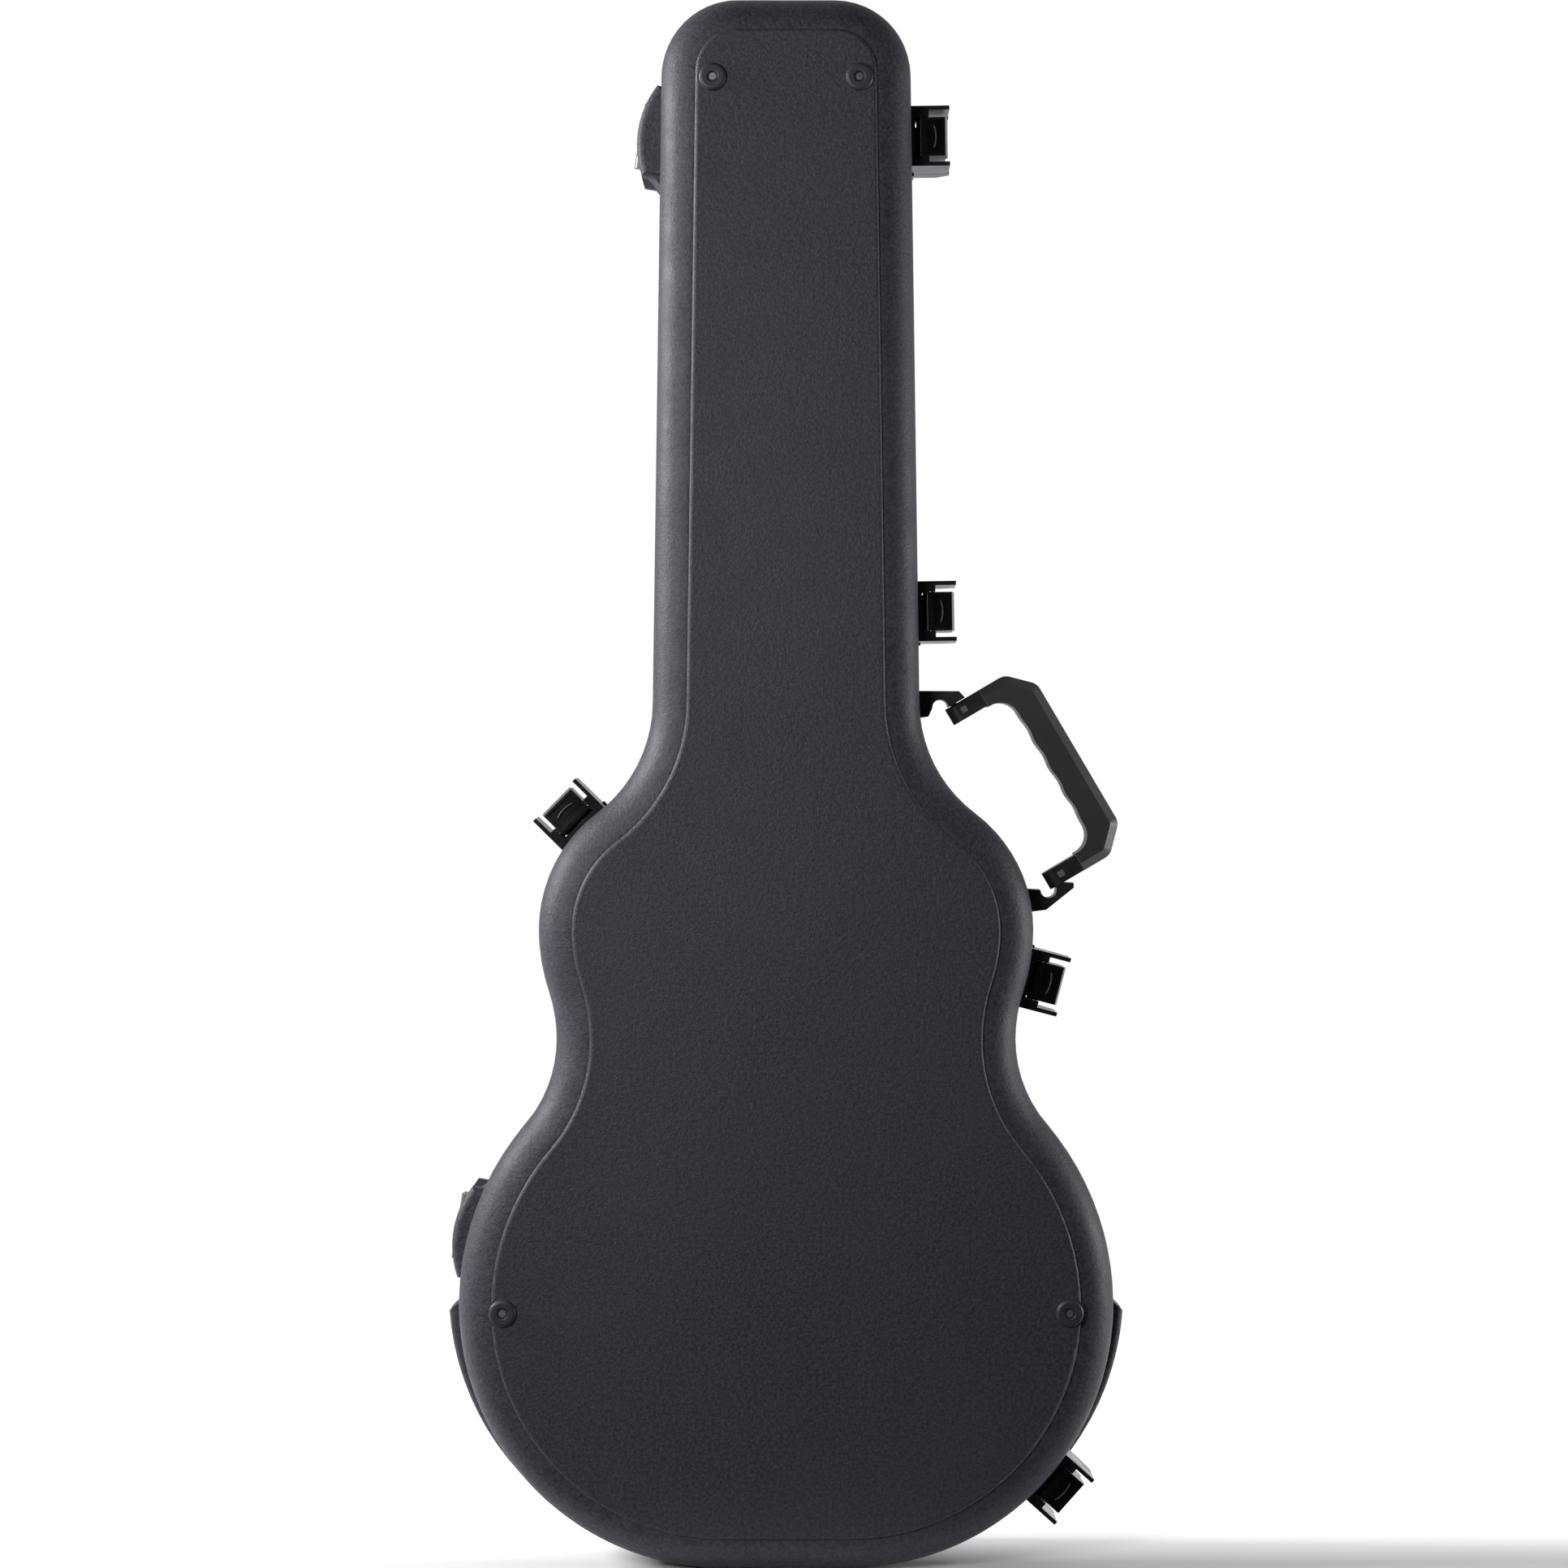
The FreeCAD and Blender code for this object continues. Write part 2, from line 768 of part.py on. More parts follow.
def accessory_box():
    """Open tray under the neck, part covered, with a doorway between door_low and door_high."""
    low, half, floor, top = accessory_levels()
    wall = cell("box_wall")
    length = cell("box_length")
    outer = box("box_outer", (-half, floor, low), (half, top, as_size(low) + length))
    inner = box(
        "box_inner",
        (as_size(-half) + wall, as_size(floor) + wall, as_size(low) + wall),
        (as_size(half) - wall, as_size(top) - wall, as_size(low) + length - wall),
    )
    door_low, door_high = door_span()
    doorway = box(
        "box_doorway",
        (door_low, as_size(top) - wall - 1, as_size(low) + wall),
        (door_high, as_size(top) + 1, as_size(low) + length - wall),
    )
    hollow = cut("box_hollow", outer, inner)
    opened = cut("box_opened", hollow, doorway)
    start, end = BOX_KNUCKLE
    barrel = door_barrel("box_knuckle", start, end)
    x, y = door_axis()
    seat = box(
        "box_knuckle_seat",
        (x - cell("door_barrel_radius"), as_size(top) - 1, as_size(low) + length * start),
        (x + cell("door_barrel_radius"), y, as_size(low) + length * end),
    )
    knuckled = fuse("box_with_knuckle", [opened, barrel, seat])
    bored = cut("box_bored", knuckled, door_bore("box_bore"))
    return keep(bored, "accessory_box")


def door_span():
    """Left and right edges of the doorway."""
    low, half, floor, top = accessory_levels()
    right = as_size(half) - cell("door_edge")
    return right - cell("door_width"), right


def door_axis():
    """x and y of the door's hinge axis, on the doorway's inner edge."""
    low, half, floor, top = accessory_levels()
    left, right = door_span()
    barrel = cell("door_barrel_radius")
    return left - barrel, as_size(top) + barrel + cell("door_knuckle_gap")


def door_barrel(name, start, end):
    """A knuckle of the door's hinge, between two shares of the box's length."""
    low = mm("box_low")
    x, y = door_axis()
    length = cell("box_length")
    base = (x, y, as_size(low) + length * start)
    return rod(name, cell("door_barrel_radius"), length * (end - start), base)


def door_bore(name):
    low = mm("box_low")
    x, y = door_axis()
    radius = cell("door_pin_radius") + cell("running_clearance")
    return rod(name, radius, cell("box_length") + 2, (x, y, low - 1))


def accessory_door():
    low, half, floor, top = accessory_levels()
    left, right = door_span()
    gap = cell("door_gap")
    wall = cell("box_wall")
    length = cell("box_length")
    x, y = door_axis()
    plate_low = as_size(top) - cell("door_thickness")
    plate = box(
        "door_plate",
        (left + gap, plate_low, as_size(low) + wall + gap),
        (right - gap, top, as_size(low) + length - wall - gap),
    )
    pieces = [plate]
    foot_end = left + gap + cell("door_knuckle_foot")
    arm_low = as_size(top) + cell("door_knuckle_gap")
    arm_high = y + cell("door_barrel_radius") * 0.5
    for name, (start, end) in DOOR_KNUCKLES.items():
        pieces.append(door_barrel(name, start, end))
        z = as_size(low) + length * start
        tip = as_size(low) + length * end
        pieces.append(box(f"{name}_arm", (x, arm_low, z), (foot_end, arm_high, tip)))
        pieces.append(box(f"{name}_foot", (left + gap, plate_low, z), (foot_end, y, tip)))
    door = cut("door_bored", fuse("door_fused", pieces), door_bore("door_bore"))
    return keep(door, "accessory_door")


def accessory_pin():
    low = mm("box_low")
    x, y = door_axis()
    length = cell("box_length")
    start, end = DOOR_PIN
    base = (x, y, as_size(low) + length * start)
    pin = rod("accessory_pin", cell("door_pin_radius"), length * (end - start), base)
    return keep(pin, "accessory_pin")


def accessory_tab():
    """Pull tab on the door's free edge."""
    low, half, floor, top = accessory_levels()
    left, right = door_span()
    middle = as_size(low) + cell("box_length") * 0.5
    width = cell("tab_width") * 0.5
    edge = right - cell("tab_edge")
    tab = box(
        "accessory_tab",
        (edge - cell("tab_length") * 0.5, top, middle - width),
        (edge, as_size(top) + cell("tab_thickness"), middle + width),
    )
    return keep(tab, "accessory_tab")


# ---------------------------------------------------------------- hinges


def leaf(half, spot, placement):
    """A hinge leaf: a plate on the boss, with knuckles round the pin."""
    side = -1 if half == "base" else 1
    length = mm("hinge_length")
    face = mm("leaf_offset")
    thick = mm("leaf_thickness")
    barrel = mm("hinge_barrel_radius")
    third = length / 3
    play = mm("knuckle_play")
    relief = mm("leaf_relief")
    name = f"hinge_{spot}_{half}_leaf"
    if half == "base":
        spans = [(-length / 2, -third / 2 - play), (third / 2 + play, length / 2)]
    else:
        spans = [(-third / 2 + play, third / 2 - play)]

    def plate(y_near, y_far, z_low, z_high):
        low, high = sorted((side * y_near, side * y_far))
        base = Vector(-face, low, z_low)
        return Part.makeBox(thick, high - low, z_high - z_low, base)

    shape = plate(barrel + relief, mm("leaf_depth"), -length / 2, length / 2)
    for low, high in spans:
        knuckle = Part.makeCylinder(barrel, high - low, Vector(0, 0, low))
        shape = shape.fuse(knuckle).fuse(plate(0, barrel + 2 * relief, low, high))
    bore = mm("hinge_pin_radius") + mm("running_clearance")
    shape = shape.cut(Part.makeCylinder(bore, length + 2, Vector(0, 0, -length / 2 - 1)))
    for spot_z in (-length / 3, length / 3):
        hole = Vector(-face - 1, side * mm("leaf_rivet_depth"), spot_z)
        shape = shape.cut(Part.makeCylinder(mm("rivet_radius"), thick + 2, hole, Vector(1, 0, 0)))
    return keep(solid_feature(name, shape.removeSplitter(), placement), name)


def hinge(spot, centre):
    placement = hinge_placement(centre)
    for half in ("base", "lid"):
        leaf(half, spot, placement)
    pin = rod(
        f"hinge_{spot}_pin_rod",
        cell("hinge_pin_radius"),
        cell("hinge_length"),
        (0, 0, -(cell("hinge_length") * 0.5)),
    )
    body = fuse(f"hinge_{spot}_pin_body", [pin, hinge_pin_head(spot)])
    body.Placement = placement
    return keep(body, f"hinge_{spot}_pin")


def hinge_pin_head(spot):
    """The pin's flat head, on the end of the top knuckle."""
    radius = cell("hinge_pin_radius") + cell("pin_head_overhang")
    head = cell("pin_head")
    start = -(cell("hinge_length") * 0.5 + head)
    return rod(f"hinge_{spot}_pin_head", radius, head, (0, 0, start))


def hinge_rivets(half):
    """The rivets that hold both leaves of one half, as a group of solids."""
    side = -1 if half == "base" else 1
    face = mm("leaf_offset")
    solids = []
    for centre in HINGES.values():
        placement = hinge_placement(centre)
        for share in (-1 / 3, 1 / 3):
            at = Vector(-face, side * mm("leaf_rivet_depth"), mm("hinge_length") * share)
            solids.append(rivet(at, Vector(1, 0, 0), mm("leaf_thickness"), placement))
    name = f"hinge_{half}_rivets"
    return keep(solid_feature(name, Part.Compound(solids)), name)


def rivet(seat, outward, grip, placement):
    """A domed rivet whose shank fills a hole of length grip above its seat."""
    shank = Part.makeCylinder(mm("rivet_radius"), grip, seat, outward)
    head_at = seat + outward * grip
    wide = mm("rivet_head_radius")
    head = Part.makeCone(wide, wide * mm("rivet_taper"), mm("rivet_head"), head_at, outward)
    solid = shank.fuse(head).removeSplitter()
    solid = shape_of_one_solid(solid)
    solid.Placement = placement.multiply(solid.Placement)
    return solid


# ---------------------------------------------------------------- latches


def edge_placement(point, angle):
    """Local +X out of the case's edge at this angle, local +Y like the row's, local origin on it."""
    base = Vector(point.x, PARTING, point.z)
    return Placement(base, Rotation(Vector(0, 1, 0), -angle))


def latch_places():
    taper = mm("neck_taper")
    places = {}
    heights = {"latch_1": OUTLINE.length - mm("latch_1_drop"), "latch_2": mm("latch_2_height")}
    for name, height in heights.items():
        places[name] = edge_placement(Vector(OUTLINE.half_width(height), 0, height), taper)
    on_arcs = {
        "latch_3": (OUTLINE.up_low, mm("upper_low_radius")),
        "latch_4": (OUTLINE.low, mm("lower_radius")),
    }
    for name, (centre, radius) in on_arcs.items():
        angle = mm(f"{name}_angle")
        places[name] = edge_placement(centre + polar(angle, radius), angle)
    angle = mm("latch_5_angle")
    mirrored = Vector(-OUTLINE.up_top.x, 0, OUTLINE.up_top.z)
    places["latch_5"] = edge_placement(mirrored + polar(angle, mm("upper_top_radius")), angle)
    return places


def case_block():
    """The whole outline as one block, which seats are cut against."""
    half = mm("overall_depth") / 2
    return solid_feature("case_block", slab(0, -half, half))


def seated(name, base, placement):
    """A fitting moved to its place and cut to sit on the case's curved wall."""
    base.Placement = placement.multiply(base.Placement)
    return keep(cut(f"{name}_seated", base, CASE_BLOCK), name)


RIB_SHARES = (-1.0, -0.5, 0.0, 0.5, 1.0)


def latch_housing(name, placement):
    """Base block with a shoulder beside each end of the pivot pin, and a tall rail outside it."""
    near = -cell("latch_gap")
    back = -cell("latch_depth")
    half = cell("latch_width") * 0.5
    rail = half - cell("rail_width")
    shoulder = cell("trigger_width") * 0.5 + cell("shoulder_gap")
    front = near - cell("shoulder_back")
    deep = -cell("seat_depth")
    pieces = [box(f"{name}_floor", (deep, back, -half), (cell("latch_base"), near, half))]
    for side, low, high in (("low", -half, -rail), ("high", rail, half)):
        pieces.append(box(f"{name}_rail_{side}", (0, back, low), (cell("latch_proud"), near, high)))
    for side, low, high in (("low", -rail, -shoulder), ("high", shoulder, rail)):
        pieces.append(box(f"{name}_shoulder_{side}", (0, back, low), (cell("shoulder_top"), front, high)))
    block = fuse(f"{name}_block", pieces)
    bore = rod(
        f"{name}_bore",
        cell("pivot_pin_radius") + cell("running_clearance"),
        rail * 2,
        (cell("pivot_height"), -cell("pivot_back"), -rail),
    )
    return seated(f"{name}_housing", cut(f"{name}_bored", block, bore), placement)


def latch_trigger(name, placement):
    """The swinging block: a scooped outer face, a round boss on the pin and a hook at its tip."""
    body_name = f"{name}_trigger"
    pivot_x = cell("pivot_height")
    pivot_y = -cell("pivot_back")
    boss = cell("pivot_boss")
    top = cell("trigger_top")
    tip = cell("hook_reach")
    low = cell("trigger_low")
    points = [
        (pivot_x, pivot_y - boss),
        (top - cell("trigger_bevel"), pivot_y - boss),
        (top, pivot_y + cell("trigger_crest")),
        (top - cell("trigger_dip"), pivot_y + cell("trigger_dip_reach")),
        (top, tip - cell("trigger_lip")),
        (top - cell("trigger_dip"), tip),
        (cell("hook_low"), tip),
        (cell("hook_low"), tip - cell("hook_thickness")),
        (low, tip - cell("hook_thickness")),
        (low, pivot_y + boss),
        (pivot_x, pivot_y + boss),
    ]
    body = prism(f"{body_name}_lever", points, cell("trigger_width"))
    half = cell("trigger_width") * 0.5
    round_boss = rod(f"{body_name}_boss", boss, half * 2, (pivot_x, pivot_y, -half))
    bore = rod(
        f"{body_name}_bore",
        cell("pivot_pin_radius") + cell("running_clearance"),
        half * 2 + 2,
        (pivot_x, pivot_y, -half - 1),
    )
    scoop_radius = half * 5
    scoop = rod(f"{body_name}_scoop", scoop_radius, as_size(200))
    scoop.Placement = Placement(Vector(0, -150, 0), Rotation(Vector(1, 0, 0), -90))
    scoop.setExpression("Placement.Base.x", (top + scoop_radius - cell("trigger_scoop")).text)
    lever = cut(f"{body_name}_scooped", fuse(f"{body_name}_solid", [body, round_boss]), scoop)
    lever = cut(f"{body_name}_bored", lever, bore)
    border = cell("recess_border")
    back = pivot_y - boss
    floor = back + cell("recess_depth")
    inner = pivot_x + boss + cell("shoulder_gap")
    outer = top - border - cell("trigger_scoop")
    recess = box(f"{body_name}_recess", (inner, back - 1, border - half), (outer, floor, half - border))
    lever = cut(f"{body_name}_recessed", lever, recess)
    rib = thumb_rib(f"{body_name}_rib", (inner + outer) * 0.5, half - border * 2)
    rib.setExpression("Placement.Base.y", floor.text)
    lever = fuse(f"{body_name}_ribbed", [lever, rib])
    lever.Placement = placement
    return keep(lever, body_name)


def thumb_rib(name, middle, half):
    """A thin curved rib, bulging away from the case, that stands in the trigger's recess."""
    radius = mm("rib_radius")
    spread = math.degrees(math.asin(half.value / radius))
    centre = middle - radius
    points = []
    for reach, shares in ((radius + mm("rib_thickness"), RIB_SHARES), (radius, RIB_SHARES[::-1])):
        for share in shares:
            point = polar(share * spread, reach)
            points.append((centre + point.x, point.z))
    return prism(name, points, cell("recess_depth") * 2 - 0.2, "XZ_Plane")


def latch_pin(name, placement):
    """Pivot pin between the two shoulders."""
    half = mm("latch_width") / 2 - mm("rail_width")
    pin = doc.addObject("Part::Cylinder", f"{name}_pin")
    reach = cell("latch_width") * 0.5 - cell("rail_width")
    bind(pin, Radius=cell("pivot_pin_radius"), Height=reach * 2)
    seat = Vector(mm("pivot_height"), -mm("pivot_back"), -half)
    pin.Placement = placement.multiply(Placement(seat, Rotation()))
    return keep(pin, f"{name}_pin")


def latch_spring(name, placement):
    """Leaf spring under the trigger, standing on the housing's floor."""
    floor = cell("latch_base")
    thick = cell("spring_thickness")
    rise = cell("trigger_low") - cell("spring_gap")
    foot_end = -cell("spring_foot")
    bend = -cell("spring_bend")
    tip = -cell("spring_tip")
    points = [
        (floor, foot_end),
        (floor + thick, foot_end),
        (floor + thick, bend),
        (rise, tip),
        (rise - thick, tip + thick),
        (floor, bend + thick),
    ]
    body = prism(f"{name}_spring", points, cell("trigger_width") * 0.4)
    body.Placement = placement
    return keep(body, f"{name}_spring")


def latch_keeper(name, placement):
    """The catch on the lid: a floor, a lip for the hook and a sloped cheek at each end."""
    near = cell("latch_gap")
    far = cell("keeper_depth")
    half = cell("latch_width") * 0.5
    rail = half - cell("rail_width")
    deep = -cell("seat_depth")
    lip_half = cell("trigger_width") * 0.5 - cell("lip_inset")
    wide = half + cell("keeper_flange")
    pieces = [box(f"{name}_keeper_floor", (deep, near, -wide), (cell("latch_base"), far, wide))]
    tip = cell("latch_proud") + cell("cheek_overreach")
    slope = cell("cheek_slope")
    profile = [(0, near), (tip, near), (tip, far - slope), (tip - slope, far), (0, far)]
    for side in (-1, 1):
        cheek = prism(f"{name}_cheek_{'low' if side < 0 else 'high'}", profile, cell("rail_width"))
        cheek.setExpression("Placement.Base.z", ((half + rail) * (side * 0.5)).text)
        pieces.append(cheek)
    lip_far = cell("lip_low") + cell("lip_thickness")
    pieces.append(
        box(f"{name}_lip", (0, cell("lip_low"), -lip_half), (cell("lip_top"), lip_far, lip_half))
    )
    return seated(f"{name}_keeper", fuse(f"{name}_keeper_block", pieces), placement)


def latch(name, placement):
    latch_housing(name, placement)
    latch_trigger(name, placement)
    latch_pin(name, placement)
    latch_spring(name, placement)
    latch_keeper(name, placement)


def latch_rivets(kind):
    """Rivets in the floors of the five housings or the five keepers, as a group of solids."""
    across = mm("latch_width") / 2 - mm("rail_width") - mm("rivet_edge")
    if kind == "housing":
        depth = -mm("housing_rivet_back")
    else:
        depth = mm("keeper_depth") - mm("keeper_rivet_back")
    solids = []
    for place in latch_places().values():
        for side in (-1, 1):
            seat = Vector(mm("latch_base"), depth, side * across)
            solids.append(rivet(seat, Vector(1, 0, 0), mm("rivet_sink"), place))
    name = "latch_rivets" if kind == "housing" else "keeper_rivets"
    return keep(solid_feature(name, Part.Compound(solids)), name)


# ---------------------------------------------------------------- handle


def handle_ends():
    """Centres of the handle's two eyes."""
    y = PARTING - mm("handle_offset")
    top = Vector(mm("neck_half_width") + mm("handle_top_reach"), y, mm("handle_top_height"))
    low = Vector(mm("upper_half_width") + mm("handle_low_reach"), y, mm("handle_low_height"))
    return top, low


HANDLE_TOP, HANDLE_LOW = handle_ends()
HANDLE_SPAN = HANDLE_LOW.sub(HANDLE_TOP).Length
HANDLE_TURN = angle_of(HANDLE_TOP - HANDLE_LOW)


def handle_placement():
    """Local +Z from the lower eye to the upper one, local +X away from the case, +Y the row's."""
    middle = (HANDLE_TOP + HANDLE_LOW) * 0.5
    return Placement(middle, Rotation(Vector(0, 1, 0), 90 - HANDLE_TURN))


WAVES = 4
WAVE_POINTS = 6


def handle_loop(outer, inner, depth):
    """A U in the XZ plane: points from the upper eye outwards, mirrored below, padded both ways."""
    flip = [(x, -z) for x, z in reversed(outer)]
    flip_inner = [(x, -z) for x, z in inner]
    loop = outer + flip + flip_inner + list(reversed(inner))
    points = [Vector(x, -depth / 2, z) for x, z in loop]
    return Part.Face(Part.makePolygon(points + points[:1])).extrude(Vector(0, depth, 0))


def core_loop():
    """The slim strap that runs from eye to eye inside the grip."""
    half = HANDLE_SPAN / 2
    slim = mm("strap_thickness") / 2
    reach = mm("grip_reach")
    outer = [(0, half + slim), (reach - slim, half + slim), (reach + slim, half - slim * 2)]
    inner = [(0, half - slim), (reach - slim * 2.5, half - slim), (reach - slim, half - slim * 3)]
    return handle_loop(outer, inner, mm("strap_depth"))


def across_y(edge):
    return is_along(edge, Vector(0, 1, 0))


def handle_core():
    """Hard strap with a thick arm and an eye at each end."""
    half = HANDLE_SPAN / 2
    thick = mm("arm_thickness")
    depth = mm("arm_depth")
    eye = mm("eye_radius")
    solid = core_loop()
    for side in (-1, 1):
        low = side * half - thick / 2
        solid = solid.fuse(Part.makeBox(mm("arm_length"), depth, thick, Vector(0, -depth / 2, low)))
        solid = solid.fuse(Part.makeCylinder(eye, thick, Vector(0, 0, low)))
    bore = mm("handle_pin_radius") + mm("running_clearance")
    solid = solid.cut(Part.makeCylinder(bore, 2 * half + thick * 2, Vector(0, 0, -half - thick)))
    shape = shape_of_one_solid(solid.removeSplitter())
    return keep(solid_feature("handle_core", shape, handle_placement()), "handle_core")


def handle_grip():
    """Soft overmould round the strap: bevelled outer corners, finger waves on the inner side."""
    half = HANDLE_SPAN / 2
    depth = mm("grip_depth")
    start = mm("arm_length") + 0.2
    outside = mm("grip_reach") + mm("grip_thickness") / 2
    inside = mm("grip_reach") - mm("grip_thickness") / 2
    bevel = mm("grip_bevel")
    high = half + mm("arm_thickness") / 2
    low = half - mm("arm_thickness") / 2 - 1
    corners = [(inside, -low), (start, -low), (start, -high), (outside - bevel, -high)]
    corners += [(outside, bevel - high), (outside, high - bevel), (outside - bevel, high)]
    corners += [(start, high), (start, low), (inside, low)]
    points = [Vector(x, -depth / 2, z) for x, z in corners]
    edges = [Part.LineSegment(first, last).toShape() for first, last in zip(points, points[1:])]
    edges.append(finger_waves(points[-1], points[0]))
    solid = Part.Face(Part.Wire(Part.__sortEdges__(edges))).extrude(Vector(0, depth, 0))
    bends = [edge for edge in solid.Edges if across_y(edge) and edge.CenterOfMass.x > start + 1]
    inner = [edge for edge in bends if edge.CenterOfMass.x < inside + 1]
    solid = solid.makeFillet(mm("grip_inside_round"), inner)
    bends = [edge for edge in solid.Edges if across_y(edge) and edge.CenterOfMass.x > inside + 1]
    solid = solid.makeFillet(mm("grip_corner_round"), bends)
    rims = [edge for edge in solid.Edges if abs(abs(edge.CenterOfMass.y) - depth / 2) < 1e-6]
    outer = [edge for edge in rims if on_outer_side(edge.CenterOfMass, start, outside, high, bevel)]
    solid = solid.makeChamfer(mm("grip_edge_chamfer"), outer).cut(core_loop())
    shape = shape_of_one_solid(solid.removeSplitter())
    return keep(solid_feature("handle_grip", shape, handle_placement()), "handle_grip")


def on_outer_side(point, start, outside, high, bevel):
    """True for points on the grip's outer outline: its two ends, two bevels and long side."""
    near = 4.0
    on_end = abs(abs(point.z) - high) < near and point.x > start
    on_bevel = abs(abs(point.z) + point.x - (outside + high - bevel)) < near
    return on_end or on_bevel or abs(point.x - outside) < near


def finger_waves(start, end):
    """A curve from start to end with four shallow hollows, straight near both ends."""
    plain = mm("grip_inside_round") + 4
    reach = end.sub(start).Length
    along = (end - start).multiply(1 / reach)
    steps = WAVES * WAVE_POINTS
    points = [start, start + along * (plain / 2)]
    for step in range(steps + 1):
        travelled = plain + (reach - 2 * plain) * step / steps
        swell = (1 - math.cos(2 * math.pi * step / WAVE_POINTS)) / 2
        points.append(start + along * travelled + Vector(mm("finger_wave") * swell, 0, 0))
    points += [end - along * (plain / 2), end]
    curve = Part.BSplineCurve()
    curve.interpolate(points)
    return curve.toShape()


def handle_studs():
    """Square studs on the outer faces of the handle's two arms, as a group of solids."""
    width = mm("stud_width")
    solids = []
    for side in (-1, 1):
        corner = Vector(mm("stud_offset") - width / 2, 0, side * HANDLE_SPAN / 2 - width / 2)
        corner.y = -mm("arm_depth") / 2 - mm("stud_rise")
        stud = Part.makeBox(width, mm("stud_rise"), width, corner)
        stud = stud.makeChamfer(mm("stud_rise") / 2, far_edges(stud, corner.y))
        stud.Placement = handle_placement()
        solids.append(stud)
    return keep(solid_feature("handle_studs", Part.Compound(solids)), "handle_studs")


def handle_sweep():
    """The room between the brackets that the handle turns in."""
    half = HANDLE_SPAN / 2 + mm("arm_thickness") / 2 + mm("eye_gap")
    block = Part.makeBox(120, 200, 2 * half, Vector(-mm("bracket_room"), -100, -half))
    block.Placement = handle_placement()
    return block


def bracket(name, joint, corners, notch):
    """A hooked bracket from the case's wall to the pin at joint, with a round notch."""
    depth = mm("bracket_depth")
    points = [Vector(joint.x + x, joint.y - depth / 2, joint.z + z) for x, z in corners]
    solid = Part.Face(Part.makePolygon(points + points[:1])).extrude(Vector(0, depth, 0))
    notch_at = Vector(joint.x + notch[0], joint.y - depth, joint.z + notch[1])
    hole = Part.makeCylinder(mm("bracket_notch_radius"), depth * 2, notch_at, Vector(0, 1, 0))
    solid = solid.cut(hole).cut(handle_sweep())
    pin_hole = Part.makeCylinder(mm("handle_pin_radius"), 200, Vector(0, 0, -100))
    pin_hole.Placement = handle_placement()
    solid = solid.cut(pin_hole).cut(CASE_BLOCK.Shape)
    largest = max(solid.Solids, key=lambda item: item.Volume)
    return keep(solid_feature(name, largest), name)


# each bracket's outline and the centre of its notch, measured from the eye's centre
UPPER_BRACKET = [(-36, 15.5), (0, 15.3), (5, 10), (5, 3), (-19.4, 3), (-22, -3), (-36, -5)]
UPPER_NOTCH = (-13.5, 3.3)
LOWER_BRACKET = [(-44, -4), (-20, -9), (-11, -9.5), (0.3, -9.5), (0.3, -4), (13, -4.5)]
LOWER_BRACKET += [(13, -8), (-7, -24), (-30, -27)]
LOWER_NOTCH = (-5.3, -9.5)


def handle_brackets():
    bracket("handle_upper_bracket", HANDLE_TOP, UPPER_BRACKET, UPPER_NOTCH)
    bracket("handle_lower_bracket", HANDLE_LOW, LOWER_BRACKET, LOWER_NOTCH)


def handle_pin(name, side):
    """A pin through one bracket's eye and one of the handle's eyes."""
    half = HANDLE_SPAN / 2
    inner = half - mm("arm_thickness") / 2 + 1
    length = mm("handle_pin_length")
    pin = doc.addObject("Part::Cylinder", name)
    bind(pin, Radius=cell("handle_pin_radius"), Height=cell("handle_pin_length"))
    start = inner if side > 0 else -inner - length
    pin.Placement = handle_placement().multiply(Placement(Vector(0, 0, start), Rotation()))
    return keep(pin, name)


# ---------------------------------------------------------------- feet


def foot_places():
    """Centres of the four feet, level with the base's raised panel."""
    face = PARTING - BASE_DEPTH - mm("panel_rise")
    top_x = mm("neck_half_width") - mm("foot_top_inset")
    top_z = OUTLINE.length - mm("foot_top_drop")
    low_x = mm("lower_half_width") - mm("foot_low_inset")
    low_z = mm("foot_low_height")
    return [Vector(side * x, face, z) for x, z in ((top_x, top_z), (low_x, low_z)) for side in (-1, 1)]


def foot(number, centre):
    """A domed ring with a dimple for its screw."""
    name = f"foot_{number}"
    body = new_body(f"{name}_body")
    sketch = new_sketch(body, f"{name}_section", "XZ_Plane")
    radius = cell("foot_radius")
    rise = cell("foot_rise")
    bore = cell("foot_shank_radius")
    dimple = cell("foot_dimple")
    floor = rise - cell("foot_dimple_depth")
    points = [(bore, 0), (radius, 0), (radius, rise), (dimple, rise), (dimple, floor), (bore, floor)]
    draw_polygon(sketch, points)
    turned = body.newObject("PartDesign::Revolution", f"{name}_turned")
    turned.Profile = sketch
    turned.ReferenceAxis = (sketch, ["V_Axis"])
    turned.Angle = 360
    body.Tip = turned
    round_edges(body, cell("foot_crown_round"), lambda edge: on_top(edge, radius.value, rise.value))
    round_edges(body, cell("foot_lip_round"), lambda edge: on_top(edge, dimple.value, rise.value))
    body.Placement = Placement(centre, Rotation(Vector(1, 0, 0), 90))
    return keep(body, name)


def on_top(edge, radius, height):
    """True for a turned body's circular edge of this radius at this height."""
    return is_arc(edge, radius) and abs(edge.CenterOfMass.z - height) < 1e-6


def foot_screws():
    """Pan head screws through the feet and the shell, as a group of solids."""
    solids = []
    sunk = mm("foot_rise") - mm("foot_dimple_depth")
    outward = Vector(0, -1, 0)
    for centre in foot_places():
        seat = centre + outward * sunk
        head = Part.makeCylinder(mm("foot_screw_radius"), mm("foot_screw_head"), seat, outward)
        length = sunk + mm("wall")
        shank = Part.makeCylinder(mm("foot_shank_radius"), length, seat, outward * -1)
        solids.append(shape_of_one_solid(head.fuse(shank).removeSplitter()))
    return keep(solid_feature("foot_screws", Part.Compound(solids)), "foot_screws")


# ---------------------------------------------------------------- the whole case


